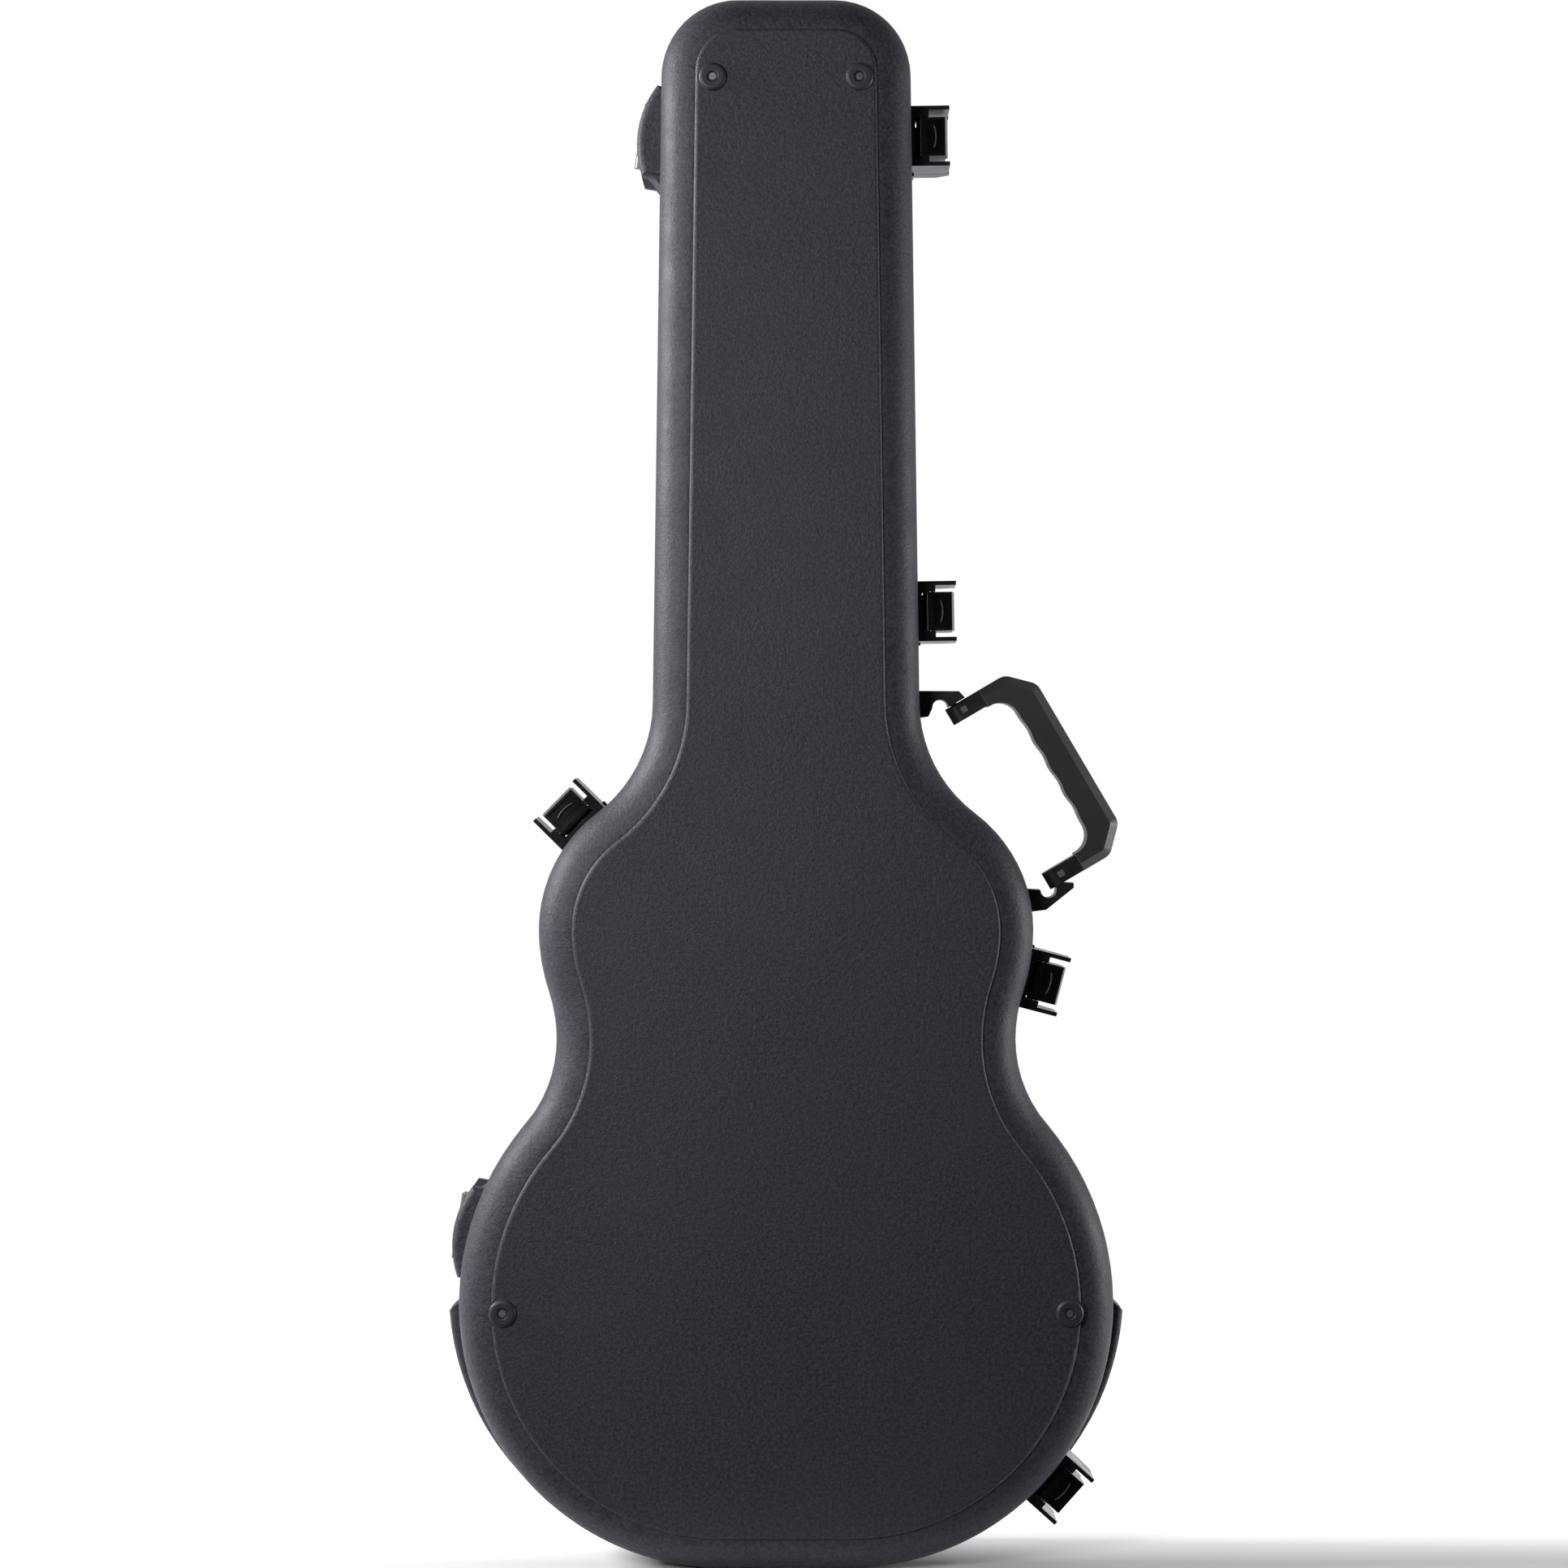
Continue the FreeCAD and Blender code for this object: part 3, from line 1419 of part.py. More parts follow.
def export():
    doc.recompute()
    for item in doc.Objects:
        if "Invalid" in item.State or "Error" in item.State:
            raise RuntimeError(f"{item.Name} failed: {item.State}")
    os.makedirs("parts", exist_ok=True)
    for item in SUB_PARTS:
        shape = item.Shape
        if shape.isNull() or not shape.isValid() or not shape.Solids:
            raise RuntimeError(f"{item.Label} has no valid solid")
        shape.exportStep(os.path.join("parts", f"{item.Label}.step"))


CASE_BLOCK = case_block()
SHELLS = {half: half_shell(half) for half in ("base", "lid")}
for half in SHELLS:
    valance(half)
    liner(half)
    hinge_rivets(half)
neck_cradle()
accessory_box()
accessory_door()
accessory_pin()
accessory_tab()
for spot, centre in HINGES.items():
    hinge(spot, centre)
for name, placement in latch_places().items():
    latch(name, placement)
latch_rivets("housing")
latch_rivets("keeper")
handle_core()
handle_grip()
handle_brackets()
handle_pin("handle_upper_pin", 1)
handle_pin("handle_lower_pin", -1)
handle_studs()
for number, centre in enumerate(foot_places(), 1):
    foot(number, centre)
foot_screws()
export()
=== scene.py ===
"""Looks of the moulded guitar case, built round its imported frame. Units are metres."""

import json
import math

import bmesh
import bpy
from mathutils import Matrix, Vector

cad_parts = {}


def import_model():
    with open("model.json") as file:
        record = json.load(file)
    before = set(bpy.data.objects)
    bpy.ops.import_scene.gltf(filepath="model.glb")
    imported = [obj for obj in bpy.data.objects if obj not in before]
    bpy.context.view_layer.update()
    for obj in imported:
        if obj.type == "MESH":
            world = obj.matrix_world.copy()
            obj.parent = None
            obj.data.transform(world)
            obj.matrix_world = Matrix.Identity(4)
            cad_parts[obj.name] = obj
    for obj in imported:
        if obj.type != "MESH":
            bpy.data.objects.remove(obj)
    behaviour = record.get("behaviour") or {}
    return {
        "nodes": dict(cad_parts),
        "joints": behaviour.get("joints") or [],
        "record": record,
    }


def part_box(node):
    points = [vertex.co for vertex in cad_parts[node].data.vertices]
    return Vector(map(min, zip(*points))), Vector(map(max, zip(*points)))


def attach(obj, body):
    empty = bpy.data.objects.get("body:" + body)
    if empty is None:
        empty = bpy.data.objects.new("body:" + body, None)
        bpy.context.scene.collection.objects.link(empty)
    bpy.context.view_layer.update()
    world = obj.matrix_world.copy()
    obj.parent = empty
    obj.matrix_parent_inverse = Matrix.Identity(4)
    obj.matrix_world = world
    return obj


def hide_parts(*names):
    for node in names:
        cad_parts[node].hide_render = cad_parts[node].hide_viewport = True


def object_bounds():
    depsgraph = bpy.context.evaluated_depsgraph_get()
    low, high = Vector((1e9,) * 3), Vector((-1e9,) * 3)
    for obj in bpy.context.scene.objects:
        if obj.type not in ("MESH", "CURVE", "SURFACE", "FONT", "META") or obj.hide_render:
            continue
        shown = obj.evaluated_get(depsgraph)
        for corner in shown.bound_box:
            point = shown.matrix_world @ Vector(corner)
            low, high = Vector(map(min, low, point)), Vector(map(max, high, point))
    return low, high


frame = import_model()
CAD_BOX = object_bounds()
NODES = frame["nodes"]
LOW, HIGH = (Vector(corner) for corner in CAD_BOX)
MIDDLE = (LOW + HIGH) / 2
LENGTH = HIGH.z - LOW.z


# ---------------------------------------------------------------- material helpers


class Shader:
    """A material with one Principled shader, and short ways to add nodes to it."""

    def __init__(self, name, colour, roughness, metallic=0.0):
        self.material = bpy.data.materials.new(name)
        self.material.use_nodes = True
        self.nodes = self.material.node_tree.nodes
        self.links = self.material.node_tree.links
        self.shader = self.nodes["Principled BSDF"]
        self.shader.inputs["Base Color"].default_value = (*colour, 1)
        self.shader.inputs["Roughness"].default_value = roughness
        self.shader.inputs["Metallic"].default_value = metallic
        self.place = self.node("ShaderNodeTexCoord").outputs["Object"]
        self.height = None

    def node(self, kind, **settings):
        item = self.nodes.new(kind)
        for name, value in settings.items():
            setattr(item, name, value)
        return item

    def set(self, **inputs):
        """Set the shader's own sockets; underscores stand for spaces."""
        for name, value in inputs.items():
            self.shader.inputs[name.replace("_", " ")].default_value = value
        return self

    def stretched(self, scale):
        """Object coordinates scaled by a vector."""
        mapping = self.node("ShaderNodeMapping")
        mapping.inputs["Scale"].default_value = scale
        self.links.new(self.place, mapping.inputs["Vector"])
        return mapping.outputs["Vector"]

    def noise(self, scale, detail=3.0, roughness=0.55, place=None):
        item = self.node("ShaderNodeTexNoise")
        item.inputs["Scale"].default_value = scale
        item.inputs["Detail"].default_value = detail
        item.inputs["Roughness"].default_value = roughness
        self.links.new(place or self.place, item.inputs["Vector"])
        return item.outputs["Fac"]

    def cells(self, scale, place=None, feature="F1", randomness=1.0):
        item = self.node("ShaderNodeTexVoronoi", feature=feature)
        item.inputs["Scale"].default_value = scale
        item.inputs["Randomness"].default_value = randomness
        self.links.new(place or self.place, item.inputs["Vector"])
        return item.outputs["Distance"]

    def spread(self, value, low, high, to_low=0.0, to_high=1.0):
        item = self.node("ShaderNodeMapRange")
        for name, number in zip(("From Min", "From Max", "To Min", "To Max"), (low, high, to_low, to_high)):
            item.inputs[name].default_value = number
        self.links.new(value, item.inputs["Value"])
        return item.outputs["Result"]

    def mix(self, factor, first, second):
        """A colour between two colours."""
        item = self.node("ShaderNodeMix", data_type="RGBA")
        item.inputs["Factor"].default_value = 0.5
        self.links.new(factor, item.inputs["Factor"])
        for socket, colour in (("A", first), ("B", second)):
            target = next(s for s in item.inputs if s.name == socket and s.type == "RGBA")
            if isinstance(colour, tuple):
                target.default_value = (*colour, 1)
            else:
                self.links.new(colour, target)
        return next(s for s in item.outputs if s.type == "RGBA")

    def colour(self, output):
        self.links.new(output, self.shader.inputs["Base Color"])
        return self

    def rough(self, output):
        self.links.new(output, self.shader.inputs["Roughness"])
        return self

    def bump(self, output, distance, strength=1.0):
        """Add a bump layer; later layers sit on earlier ones."""
        item = self.node("ShaderNodeBump")
        item.inputs["Distance"].default_value = distance
        item.inputs["Strength"].default_value = strength
        self.links.new(output, item.inputs["Height"])
        if self.height is not None:
            self.links.new(self.height, item.inputs["Normal"])
        self.height = item.outputs["Normal"]
        self.links.new(self.height, self.shader.inputs["Normal"])
        return self

    def wear(self, low=0.52, high=0.6):
        """Nought on flats, one on sharp outward edges."""
        geometry = self.node("ShaderNodeNewGeometry")
        return self.spread(geometry.outputs["Pointiness"], low, high)


# ---------------------------------------------------------------- materials


def shell_plastic():
    """Charcoal moulded plastic with a fine pebbled grain, faintly scuffed, with broad darker patches of
    painted shade standing in for a slightly wavy panel.
    """
    look = Shader("case_shell_plastic", (0.033, 0.032, 0.042), 0.55)
    look.set(IOR=1.49, Specular_IOR_Level=0.5)
    # broad darker patches in the colour: painted shade of a slightly wavy panel
    painted_wave_shade = look.noise(7.0, 5.0)
    base = look.mix(look.spread(painted_wave_shade, 0.3, 0.7), (0.0210, 0.0203, 0.0285), (0.0330, 0.0318, 0.0430))
    speck = look.spread(look.noise(430.0, 3.0), 0.38, 0.64)
    base = look.mix(speck, base, (0.054, 0.0528, 0.0675))
    look.colour(base)
    look.rough(look.spread(look.noise(35.0, 5.0), 0.3, 0.7, 0.50, 0.62))
    look.bump(look.cells(760.0), 0.00022, 0.55)
    look.bump(look.noise(330.0, 3.0), 0.00035, 0.6)
    return look.material


def latch_plastic():
    """Near-black glossy nylon with faint flow marks and rubbed edges."""
    look = Shader("latch_plastic", (0.002, 0.002, 0.0022), 0.2)
    look.set(IOR=1.5)
    base = look.mix(look.wear(), (0.0018, 0.0018, 0.002), (0.012, 0.012, 0.013))
    look.colour(base)
    look.rough(look.spread(look.noise(60.0, 5.0), 0.3, 0.7, 0.14, 0.26))
    look.bump(look.noise(180.0, 3.0), 0.00006, 0.5)
    return look.material


def painted_highlight_nylon():
    """The latch's nylon in a lighter grey, used for the trigger beads: a painted highlight along each thumb
    rib.
    """
    look = Shader("latch_painted_highlight_nylon", (0.05, 0.05, 0.052), 0.45)
    look.colour(look.mix(look.noise(250.0, 4.0), (0.032, 0.032, 0.034), (0.075, 0.075, 0.078)))
    look.bump(look.noise(900.0, 3.0), 0.00004, 0.5)
    return look.material


def handle_plastic():
    """Hard black nylon with rubbed edges."""
    look = Shader("handle_hard_plastic", (0.004, 0.004, 0.0045), 0.3)
    look.colour(look.mix(look.wear(), (0.0035, 0.0035, 0.004), (0.018, 0.018, 0.019)))
    look.rough(look.spread(look.noise(80.0, 4.0), 0.3, 0.7, 0.25, 0.42))
    look.bump(look.noise(500.0, 3.0), 0.00005, 0.5)
    return look.material


def handle_rubber():
    """Satin black overmould, finely stippled, a little shinier where hands rub it."""
    look = Shader("handle_rubber", (0.024, 0.024, 0.0245), 0.6)
    look.set(Sheen_Weight=0.15, Sheen_Roughness=0.5)
    look.colour(look.mix(look.noise(40.0, 5.0), (0.030, 0.030, 0.031), (0.042, 0.042, 0.0435)))
    look.rough(look.spread(look.noise(22.0, 4.0), 0.3, 0.7, 0.38, 0.52))
    look.bump(look.cells(1100.0), 0.00012, 0.5)
    return look.material


def foot_plastic():
    """Moulded feet, a little smoother than the shell."""
    look = Shader("foot_plastic", (0.034, 0.033, 0.040), 0.5)
    look.colour(look.mix(look.noise(160.0, 4.0), (0.028, 0.0275, 0.034), (0.042, 0.041, 0.048)))
    look.rough(look.spread(look.noise(60.0, 4.0), 0.3, 0.7, 0.4, 0.55))
    look.bump(look.noise(900.0, 2.0), 0.00008, 0.4)
    return look.material


def metal(name, colour, roughness, grain=(1.0, 1.0, 1.0), strength=0.35):
    """Metal with a directional grain, fine scratches and slightly dulled patches."""
    look = Shader(name, colour, roughness, 1.0)
    line = look.noise(90.0, 6.0, 0.7, look.stretched(grain))
    dark = tuple(channel * 0.82 for channel in colour)
    look.colour(look.mix(look.spread(line, 0.3, 0.7), dark, colour))
    look.rough(look.spread(look.noise(45.0, 5.0), 0.3, 0.7, roughness * 0.75, roughness * 1.3))
    look.bump(line, 0.00004, strength)
    return look.material


def black_zinc():
    """Black zinc plating, worn to bare metal at the edges."""
    look = Shader("hinge_black_zinc", (0.03, 0.03, 0.033), 0.4, 0.6)
    look.colour(look.mix(look.wear(), (0.022, 0.022, 0.025), (0.16, 0.16, 0.165)))
    look.rough(look.spread(look.noise(120.0, 5.0), 0.3, 0.7, 0.32, 0.5))
    look.bump(look.noise(700.0, 3.0), 0.00005, 0.5)
    return look.material


def plush():
    """Short pile plush: soft sheen, brushed patches and fine fibre bump."""
    look = Shader("plush_lining", (0.030, 0.030, 0.034), 0.95)
    look.set(Sheen_Weight=0.8, Sheen_Roughness=0.35, Sheen_Tint=(0.55, 0.55, 0.6, 1))
    nap = look.noise(14.0, 6.0, 0.65)
    fibre = look.noise(1500.0, 4.0, 0.75)
    base = look.mix(look.spread(nap, 0.35, 0.68), (0.018, 0.018, 0.021), (0.042, 0.042, 0.047))
    look.colour(look.mix(look.spread(fibre, 0.3, 0.7), base, (0.055, 0.055, 0.06)))
    look.bump(look.noise(60.0, 4.0), 0.0008, 0.5)
    look.bump(fibre, 0.0006, 0.8)
    return look.material


def piping_cloth():
    """Woven piping and thread: a tight diagonal weave, a little lighter than the plush."""
    look = Shader("piping_cloth", (0.035, 0.035, 0.038), 0.8)
    look.set(Sheen_Weight=0.3, Sheen_Roughness=0.5)
    look.colour(look.mix(look.noise(300.0, 4.0), (0.026, 0.026, 0.029), (0.050, 0.050, 0.054)))
    look.bump(look.cells(1400.0), 0.0002, 0.7)
    return look.material


def board_cloth():
    """Thin flocked cloth over the compartment's boards."""
    look = Shader("compartment_cloth", (0.028, 0.028, 0.031), 0.9)
    look.set(Sheen_Weight=0.5, Sheen_Roughness=0.4)
    nap = look.noise(25.0, 5.0, 0.6)
    look.colour(look.mix(nap, (0.020, 0.020, 0.023), (0.040, 0.040, 0.044)))
    look.bump(look.noise(1200.0, 4.0, 0.7), 0.0004, 0.7)
    return look.material


def tab_leather():
    """Dark leather with a fine cracked grain."""
    look = Shader("tab_leather", (0.022, 0.019, 0.017), 0.5)
    look.colour(look.mix(look.noise(70.0, 5.0), (0.016, 0.014, 0.013), (0.032, 0.027, 0.024)))
    look.rough(look.spread(look.noise(90.0, 4.0), 0.3, 0.7, 0.42, 0.62))
    look.bump(look.cells(650.0, feature="DISTANCE_TO_EDGE"), 0.00018, 0.6)
    return look.material


MATERIALS = {
    "shell_plastic": shell_plastic(),
    "rim_metal": metal("rim_aluminium", (0.78, 0.79, 0.81), 0.3, (1.0, 30.0, 1.0)),
    "plush_lining": plush(),
    "compartment_board": board_cloth(),
    "hinge_steel": black_zinc(),
    "pin_steel": metal("pin_steel", (0.56, 0.57, 0.59), 0.28),
    "latch_plastic": latch_plastic(),
    "handle_plastic": handle_plastic(),
    "handle_rubber": handle_rubber(),
    "foot_plastic": foot_plastic(),
    "rivet_steel": metal("rivet_steel", (0.40, 0.40, 0.42), 0.35),
    "tab_leather": tab_leather(),
}

for part in frame["record"]["subparts"]:
    target = NODES[part["node"]]
    target.data.materials.clear()
    target.data.materials.append(MATERIALS[part["material_slot"]])


# ---------------------------------------------------------------- soft pieces

# how the padding is filled: skin step, how far it starts in, air pressure, and the most it may rise
SIM_FRAMES = 20
LINER_FILL = {"voxel": 0.0062, "start_below": 0.0012, "pressure": 3.5, "cap": 0.0032}
CRADLE_FILL = {"voxel": 0.0035, "start_below": 0.0010, "pressure": 5.0, "cap": 0.0022}
LINER_BACK = 0.006
CRADLE_BACK = 0.004
TRAY_MIDDLE = (0.20, 1.06)
PIPING_RADIUS = 0.0026
PIPING_STEP = 0.008

# the leather tab: share of its outline at each level, and its stitches
TAB_SECTION = ((0.96, 0.0), (1.0, 0.25), (1.0, 0.7), (0.95, 0.9), (0.8, 1.0))
TAB_SIDES = 40
TAB_SQUARENESS = 0.35
STITCHES = 14
STITCH_RADIUS = 0.00022
STITCH_HALF_LENGTH = 0.0006

# the bead of painted highlight on each trigger's thumb rib, measured from the trigger's pivot
BEAD_POINTS = 15
BEAD_RADIUS = 0.0006
RIB_RADIUS = 0.02245
RIB_SPREAD = math.radians(22)
RIB_CENTRE_OUT = -0.0123
RIB_CREST = -0.0041


def new_object(name, mesh):
    """A new object in the scene."""
    item = bpy.data.objects.new(name, mesh)
    bpy.context.collection.objects.link(item)
    return item


def baked(item):
    """Apply every modifier on an object."""
    bpy.context.view_layer.update()
    done = item.evaluated_get(bpy.context.evaluated_depsgraph_get())
    mesh = bpy.data.meshes.new_from_object(done)
    item.modifiers.clear()
    item.data = mesh
    return item


def remeshed(node, name, voxel):
    """A new object with a CAD node's shape, remeshed evenly."""
    item = new_object(name, NODES[node].data.copy())
    remesh = item.modifiers.new("even", "REMESH")
    remesh.mode = "VOXEL"
    remesh.voxel_size = voxel
    return baked(item)


def swollen(item, is_held, filling):
    """Pull the free skin in a little, then let air pressure in a cloth simulation fill it out."""
    mesh = item.data
    held = [v.index for v in mesh.vertices if is_held(v.co, v.normal)]
    fixed = set(held)
    for vertex in mesh.vertices:
        if vertex.index not in fixed:
            vertex.co -= vertex.normal * filling["start_below"]
    rest = [vertex.co.copy() for vertex in mesh.vertices]
    item.vertex_groups.new(name="held").add(held, 1.0, "REPLACE")
    cloth = item.modifiers.new("filling", "CLOTH")
    cloth.settings.quality = 4
    cloth.settings.use_pressure = True
    cloth.settings.uniform_pressure_force = filling["pressure"]
    cloth.settings.vertex_group_mass = "held"
    cloth.settings.effector_weights.gravity = 0
    cloth.settings.tension_stiffness = 12
    cloth.settings.shear_stiffness = 6
    cloth.settings.bending_stiffness = 0.4
    cloth.collision_settings.use_collision = False
    cloth.point_cache.frame_start = 1
    cloth.point_cache.frame_end = SIM_FRAMES
    scene = bpy.context.scene
    for frame_number in range(1, SIM_FRAMES + 1):
        scene.frame_set(frame_number)
    baked(item)
    scene.frame_set(1)
    for vertex, before in zip(item.data.vertices, rest):
        moved = vertex.co - before
        if moved.length > filling["cap"]:
            vertex.co = before + moved * (filling["cap"] / moved.length)
    item.vertex_groups.clear()
    return item


def smoothed(item, levels=1):
    """Round the skin off by subdividing it."""
    item.modifiers.new("skin", "SUBSURF").levels = levels
    baked(item)
    item.data.shade_smooth()
    return item


def finish_piece(item, node, body, material):
    """Give a soft piece its material, let it ride its body and stand in for its CAD node."""
    item.data.materials.clear()
    item.data.materials.append(material)
    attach(item, body)
    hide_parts(node)
    return item


def tube(name, loop, radius, sides=10):
    """A closed tube along a loop of points."""
    count = len(loop)
    verts, faces = [], []
    for number, point in enumerate(loop):
        ahead = (loop[(number + 1) % count] - loop[number - 1]).normalized()
        out = ahead.cross(Vector((0, 1, 0))).normalized()
        up = out.cross(ahead)
        for side in range(sides):
            turn = 2 * math.pi * side / sides
            verts.append(point + (out * math.cos(turn) + up * math.sin(turn)) * radius)
    for number in range(count):
        for side in range(sides):
            first = number * sides + side
            second = number * sides + (side + 1) % sides
            step = sides if number < count - 1 else sides - count * sides
            faces.append((first, second, second + step, first + step))
    mesh = bpy.data.meshes.new(name)
    mesh.from_pydata(verts, [], faces)
    mesh.shade_smooth()
    return new_object(name, mesh)


def rim_loop(node, rim_y, spacing):
    """The inner edge of a tray's rim: the shorter of the two closed loops at y = rim_y, evenly spaced."""
    mesh = bmesh.new()
    mesh.from_mesh(NODES[node].data)
    bmesh.ops.remove_doubles(mesh, verts=mesh.verts, dist=1e-5)
    edges = [
        edge
        for edge in mesh.edges
        if all(abs(vertex.co.y - rim_y) < 1e-5 for vertex in edge.verts) and edge.calc_face_angle(0) > 0.6
    ]
    links = {}
    for edge in edges:
        first, second = edge.verts
        links.setdefault(first, []).append(second)
        links.setdefault(second, []).append(first)
    loops = []
    left = set(links)
    while left:
        start = left.pop()
        chain = [start]
        onward = links[start][0]
        while onward is not start and onward in left:
            left.discard(onward)
            chain.append(onward)
            ways = [vertex for vertex in links[onward] if vertex is not chain[-2]]
            onward = ways[0]
        loops.append([vertex.co.copy() for vertex in chain])
    mesh.free()
    loops = [loop for loop in loops if len(loop) > 20]
    return even_loop(min(loops, key=loop_length), spacing)


def loop_length(loop):
    """The length of a closed loop of points."""
    return sum((second - first).length for first, second in zip(loop, loop[1:] + loop[:1]))


def even_loop(loop, spacing):
    """The same closed loop with points at about this spacing."""
    count = int(loop_length(loop) / spacing)
    step = loop_length(loop) / count
    points, travelled, target = [], 0.0, 0.0
    for first, second in zip(loop, loop[1:] + loop[:1]):
        length = (second - first).length
        while len(points) < count and target <= travelled + length:
            points.append(first.lerp(second, (target - travelled) / max(length, 1e-9)))
            target += step
        travelled += length
    return points


def padded_liner(half, rim_y, inward):
    """Plush padding over a liner's tray, with piping round its inner rim."""
    node = f"{half}_liner"
    low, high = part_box(node)
    back_y = low[1] if inward > 0 else high[1]
    skin = remeshed(node, f"{half}_padding", LINER_FILL["voxel"])

    def is_held(place, normal):
        faces_out = (place.y - back_y) * inward < LINER_BACK
        return faces_out or is_outer_wall(place, normal)

    def is_outer_wall(place, normal):
        """Walls whose normal points away from the tray's middle line."""
        return abs(normal.y) < 0.7 and normal.x * place.x + normal.z * (place.z - nearest_middle(place.z)) > 0

    swollen(skin, is_held, LINER_FILL)
    smoothed(skin)
    finish_piece(skin, node, half, PLUSH)
    piping = tube(f"{half}_piping", rim_loop(node, rim_y, PIPING_STEP), PIPING_RADIUS)
    piping.data.materials.append(PIPING)
    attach(piping, half)


def nearest_middle(height):
    """The height of the nearest point on the line that runs up the middle of the tray."""
    return min(max(height, TRAY_MIDDLE[0]), TRAY_MIDDLE[1])


def padded_cradle():
    """The neck's cushion: a plush block that has swollen between its edges."""
    low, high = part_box("neck_cradle")
    skin = remeshed("neck_cradle", "cradle_cushion", CRADLE_FILL["voxel"])
    swollen(skin, lambda place, normal: place.y < low[1] + CRADLE_BACK, CRADLE_FILL)
    smoothed(skin)
    finish_piece(skin, "neck_cradle", "base", PLUSH)


def stitched_tab():
    """Leather pull tab: a thin strip with rounded ends, a crowned top and a line of stitches."""
    low, high = (Vector(corner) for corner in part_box("accessory_tab"))
    middle = (low + high) / 2
    half = (high - low) / 2
    mesh = bmesh.new()
    rings = []
    for share, level in TAB_SECTION:
        ring = []
        for number in range(TAB_SIDES):
            turn = 2 * math.pi * number / TAB_SIDES
            across = math.copysign(abs(math.cos(turn)) ** TAB_SQUARENESS, math.cos(turn)) * half.x * share
            along = math.copysign(abs(math.sin(turn)) ** TAB_SQUARENESS, math.sin(turn)) * half.z * share
            ring.append(mesh.verts.new((middle.x + across, low.y + 2 * half.y * level, middle.z + along)))
        rings.append(ring)
    for first, second in zip(rings, rings[1:]):
        for number in range(TAB_SIDES):
            onward = (number + 1) % TAB_SIDES
            mesh.faces.new((first[number], first[onward], second[onward], second[number]))
    mesh.faces.new(list(reversed(rings[0])))
    mesh.faces.new(rings[-1])
    bmesh.ops.recalc_face_normals(mesh, faces=mesh.faces)
    data = bpy.data.meshes.new("pull_tab")
    mesh.to_mesh(data)
    mesh.free()
    tab = new_object("pull_tab", data)
    tab.data.shade_smooth()
    finish_piece(tab, "accessory_tab", "accessory_door", MATERIALS["tab_leather"])
    stitches(middle, half, high.y)


def stitches(middle, half, top):
    """Short thread stitches along both long edges of the tab."""
    stitch = (STITCH_RADIUS, STITCH_RADIUS, STITCH_HALF_LENGTH)
    mesh = bmesh.new()
    for side in (-1, 1):
        for number in range(STITCHES):
            share = (number + 0.5) / STITCHES * 2 - 1
            place = Vector((middle.x + side * half.x * 0.62, top - 0.0001, middle.z + half.z * 0.82 * share))
            made = bmesh.ops.create_uvsphere(mesh, u_segments=10, v_segments=6, radius=1.0)
            for vertex in made["verts"]:
                vertex.co = Vector([a * b for a, b in zip(vertex.co, stitch)]) + place
    data = bpy.data.meshes.new("tab_stitches")
    mesh.to_mesh(data)
    mesh.free()
    item = new_object("tab_stitches", data)
    item.data.materials.append(PIPING)
    item.data.shade_smooth()
    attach(item, "accessory_door")


def trigger_highlight_beads():
    """A lighter bead along the curved thumb rib of each latch's trigger: a painted highlight."""
    for joint in frame["joints"]:
        if not joint["name"].startswith("latch_"):
            continue
        outward = Vector((0, 1, 0)).cross(-Vector(joint["axis"]))
        along = outward.cross(Vector((0, 1, 0)))
        pivot = Vector(joint["pos_m"])
        points = []
        for number in range(BEAD_POINTS):
            turn = RIB_SPREAD * (2 * number / (BEAD_POINTS - 1) - 1)
            out = RIB_CENTRE_OUT + RIB_RADIUS * math.cos(turn)
            place = pivot + outward * out + along * (RIB_RADIUS * math.sin(turn)) + Vector((0, RIB_CREST, 0))
            points.append(place)
        name = joint["name"].replace("_release", "_bead")
        bead = rod_along(name, points, BEAD_RADIUS)
        # the bead's lighter nylon is a painted highlight on the rib's crest
        bead.data.materials.append(HIGHLIGHT_NYLON)
        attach(bead, joint["child"])


def rod_along(name, points, radius, sides=8):
    """A rod with rounded ends along a line of points."""
    verts, faces = [], []
    last = len(points) - 1
    for number, point in enumerate(points):
        ahead = (points[min(number + 1, last)] - points[max(number - 1, 0)]).normalized()
        out = Vector((0, -1, 0))
        across = ahead.cross(out)
        width = radius * (0.35 if number in (0, last) else 1.0)
        for side in range(sides):
            turn = 2 * math.pi * side / sides
            verts.append(point + (out * math.cos(turn) + across * math.sin(turn)) * width)
    for number in range(last):
        for side in range(sides):
            first = number * sides + side
            second = number * sides + (side + 1) % sides
            faces.append((first, second, second + sides, first + sides))
    faces.append(tuple(reversed(range(sides))))
    faces.append(tuple(range(last * sides, last * sides + sides)))
    mesh = bpy.data.meshes.new(name)
    mesh.from_pydata(verts, [], faces)
    mesh.shade_smooth()
    return new_object(name, mesh)


PLUSH = MATERIALS["plush_lining"]
PIPING = piping_cloth()
# lighter nylon for the trigger beads: a painted highlight
HIGHLIGHT_NYLON = painted_highlight_nylon()
padded_liner("base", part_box("base_liner")[1][1], 1)
padded_liner("lid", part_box("lid_liner")[0][1], -1)
padded_cradle()
stitched_tab()
trigger_highlight_beads()


# ---------------------------------------------------------------- stage, light and camera

# light levels, in watts, and the height that the key lights aim above the case's middle
LEFT_WATTS = 52
RIGHT_WATTS = 26
FRONT_WATTS = 17.8
UPWARD = Vector((0, 0, 0.2))
WORLD_RAMP = (-0.1, 0.5, 0.03, 0.6)

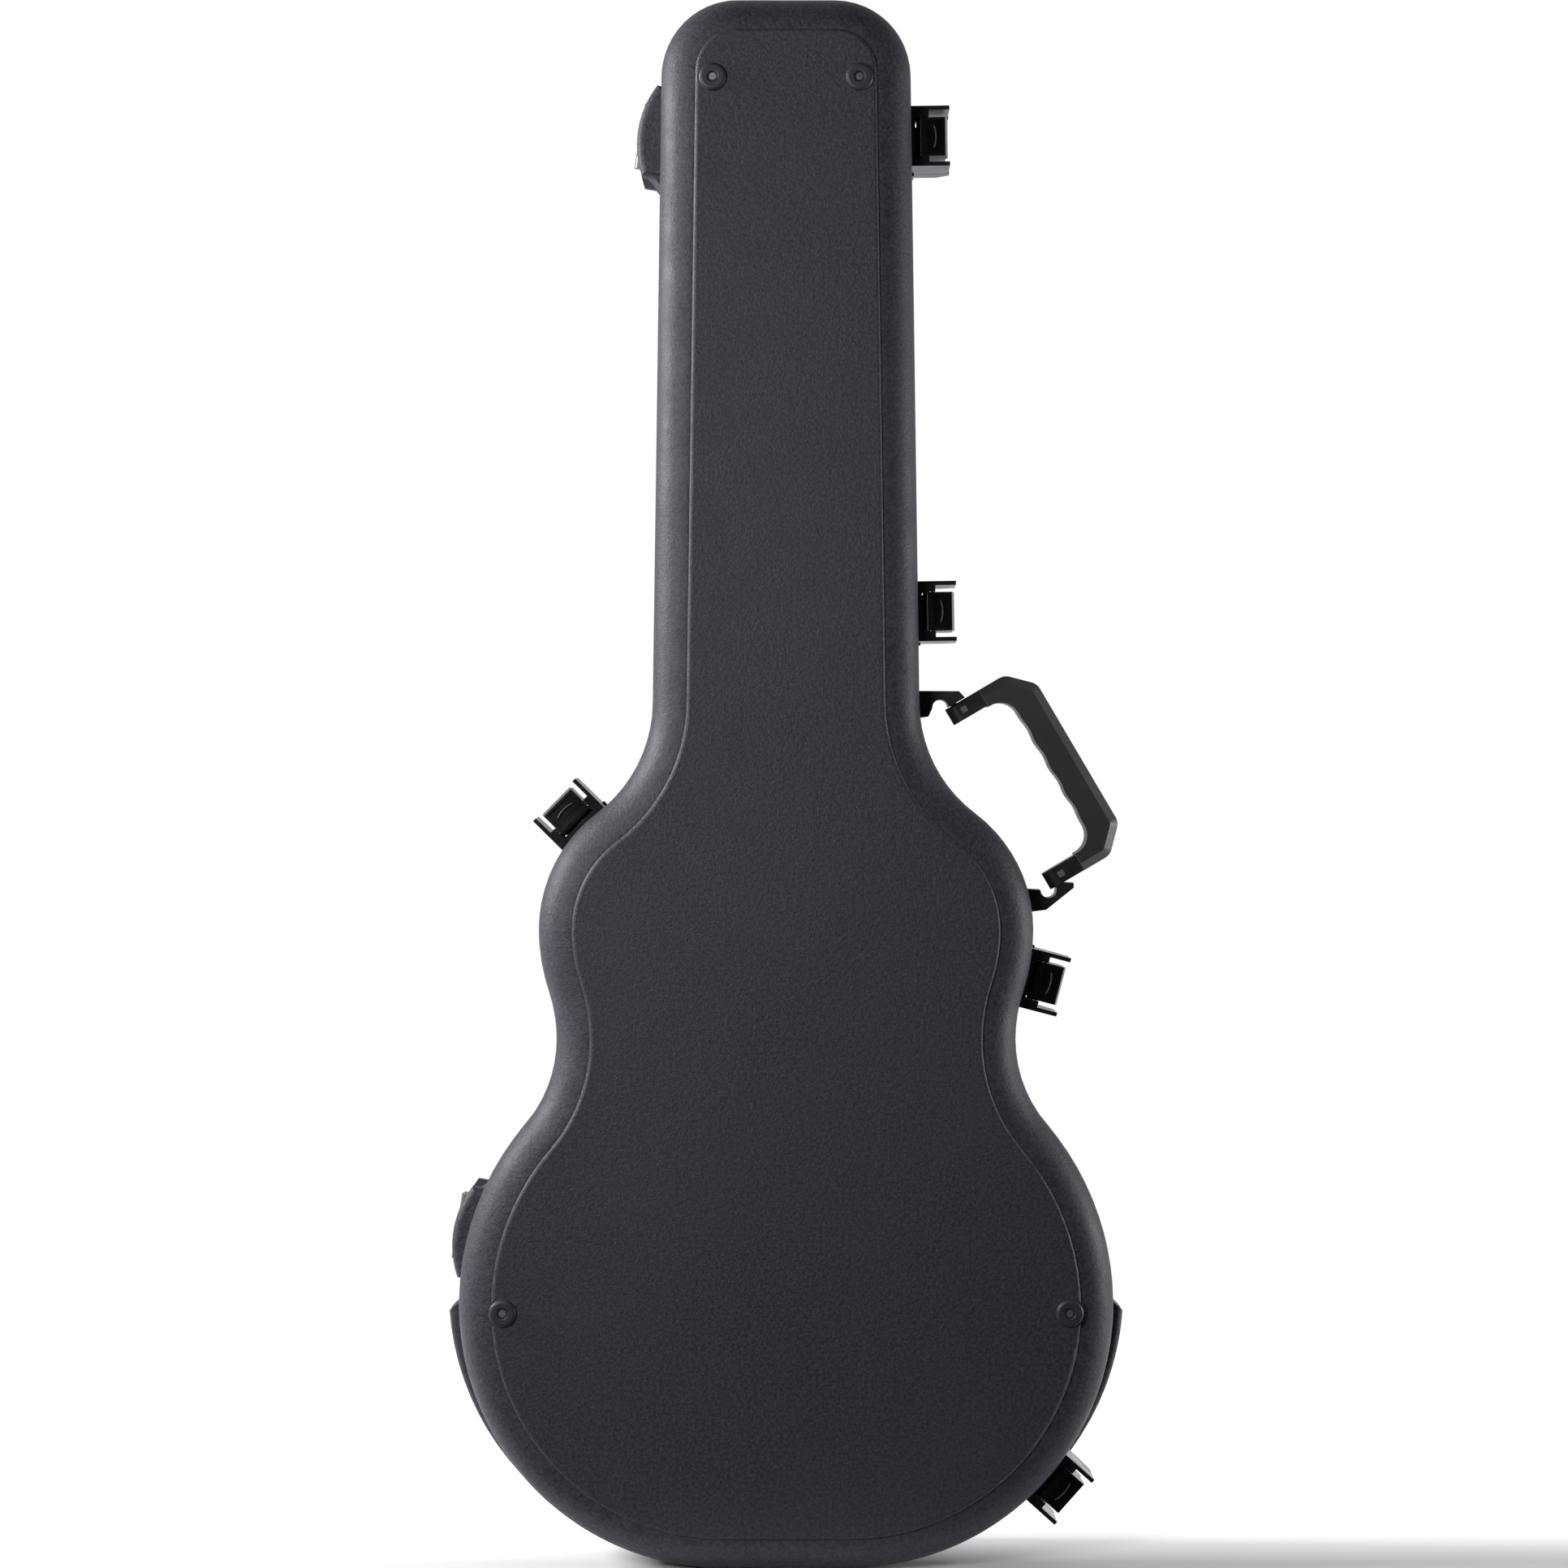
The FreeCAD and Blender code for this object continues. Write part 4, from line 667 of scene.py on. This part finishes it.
# the floor, and where along its own depth it starts to glow and glows in full
FLOOR_SIZE = (3.2, 1.56, 1)
FLOOR_MIDDLE = 0.68
FLOOR_DROP = 0.0005
FLOOR_GLOW = 0.62
GLOW_START = -0.45
GLOW_FULL = -0.36

# the camera looks square on at the back wall's plane
CAMERA_DISTANCE = 2.62
CAMERA_SHIFT = -0.0015
WALL_PLANE_IN = 0.027
SENSOR_WIDTH = 36


def stage():
    """A pale matt floor, just larger than what the camera sees of it."""
    bpy.ops.mesh.primitive_plane_add(size=1, location=(0, FLOOR_MIDDLE, LOW.z - FLOOR_DROP))
    floor = bpy.context.object
    floor.name = "studio_floor"
    floor.scale = FLOOR_SIZE
    look = Shader("pale_floor", (0.93, 0.93, 0.93), 0.9)
    look.colour(look.mix(look.noise(3.0), (0.92, 0.92, 0.92), (0.94, 0.94, 0.94)))
    look.set(Emission_Color=(1, 1, 1, 1))
    axes = look.node("ShaderNodeSeparateXYZ")
    look.links.new(look.place, axes.inputs["Vector"])
    glow = look.spread(axes.outputs["Y"], GLOW_START, GLOW_FULL, 0.0, FLOOR_GLOW)
    look.links.new(glow, look.shader.inputs["Emission Strength"])
    floor.data.materials.append(look.material)


def area_light(name, place, aim, size, watts):
    """A rectangular softbox that faces a point."""
    data = bpy.data.lights.new(name, "AREA")
    data.shape = "RECTANGLE"
    data.size, data.size_y = size
    data.energy = watts
    light = bpy.data.objects.new(name, data)
    light.location = place
    light.rotation_euler = (Vector(aim) - Vector(place)).to_track_quat("-Z", "Y").to_euler()
    bpy.context.collection.objects.link(light)


def lights():
    """A softbox on each side and a fill from the front, all aimed at the case."""
    centre = MIDDLE
    area_light("left_softbox", (-1.9, -0.05, centre.z + 0.75), centre + UPWARD, (0.8, 0.8), LEFT_WATTS)
    area_light("right_softbox", (2.3, 0.05, centre.z - 0.1), centre, (0.6, 0.9), RIGHT_WATTS)
    area_light("front_fill", (-0.9, -1.6, centre.z + 0.38), centre + UPWARD, (0.7, 0.7), FRONT_WATTS)


def world():
    """White behind the case and dark in front of it; the background itself is plain white."""
    item = bpy.data.worlds.new("studio")
    bpy.context.scene.world = item
    item.use_nodes = True
    nodes = item.node_tree.nodes
    links = item.node_tree.links
    seen = nodes["Background"]
    seen.inputs["Color"].default_value = (1, 1, 1, 1)
    seen.inputs["Strength"].default_value = 1.0
    place = nodes.new("ShaderNodeTexCoord")
    axes = nodes.new("ShaderNodeSeparateXYZ")
    depth = nodes.new("ShaderNodeMapRange")
    for name, number in zip(("From Min", "From Max", "To Min", "To Max"), WORLD_RAMP):
        depth.inputs[name].default_value = number
    around = nodes.new("ShaderNodeBackground")
    around.inputs["Color"].default_value = (0.97, 0.97, 1.0, 1)
    ray = nodes.new("ShaderNodeLightPath")
    mix = nodes.new("ShaderNodeMixShader")
    links.new(place.outputs["Generated"], axes.inputs["Vector"])
    links.new(axes.outputs["Y"], depth.inputs["Value"])
    links.new(depth.outputs["Result"], around.inputs["Strength"])
    links.new(ray.outputs["Is Camera Ray"], mix.inputs["Fac"])
    links.new(around.outputs["Background"], mix.inputs[1])
    links.new(seen.outputs["Background"], mix.inputs[2])
    links.new(mix.outputs["Shader"], nodes["World Output"].inputs["Surface"])


def camera():
    """Square on to the back, from 2.6 m, with the case filling the height of the frame."""
    data = bpy.data.cameras.new("camera")
    wall_plane = LOW.y + WALL_PLANE_IN
    data.sensor_width = SENSOR_WIDTH
    data.lens = SENSOR_WIDTH * CAMERA_DISTANCE / LENGTH
    view = bpy.data.objects.new("camera", data)
    view.location = (MIDDLE.x + CAMERA_SHIFT, wall_plane - CAMERA_DISTANCE, MIDDLE.z)
    view.rotation_euler = (math.radians(90), 0, 0)
    bpy.context.collection.objects.link(view)
    bpy.context.scene.camera = view


stage()
lights()
world()
camera()
bpy.context.scene.view_settings.view_transform = "Standard"
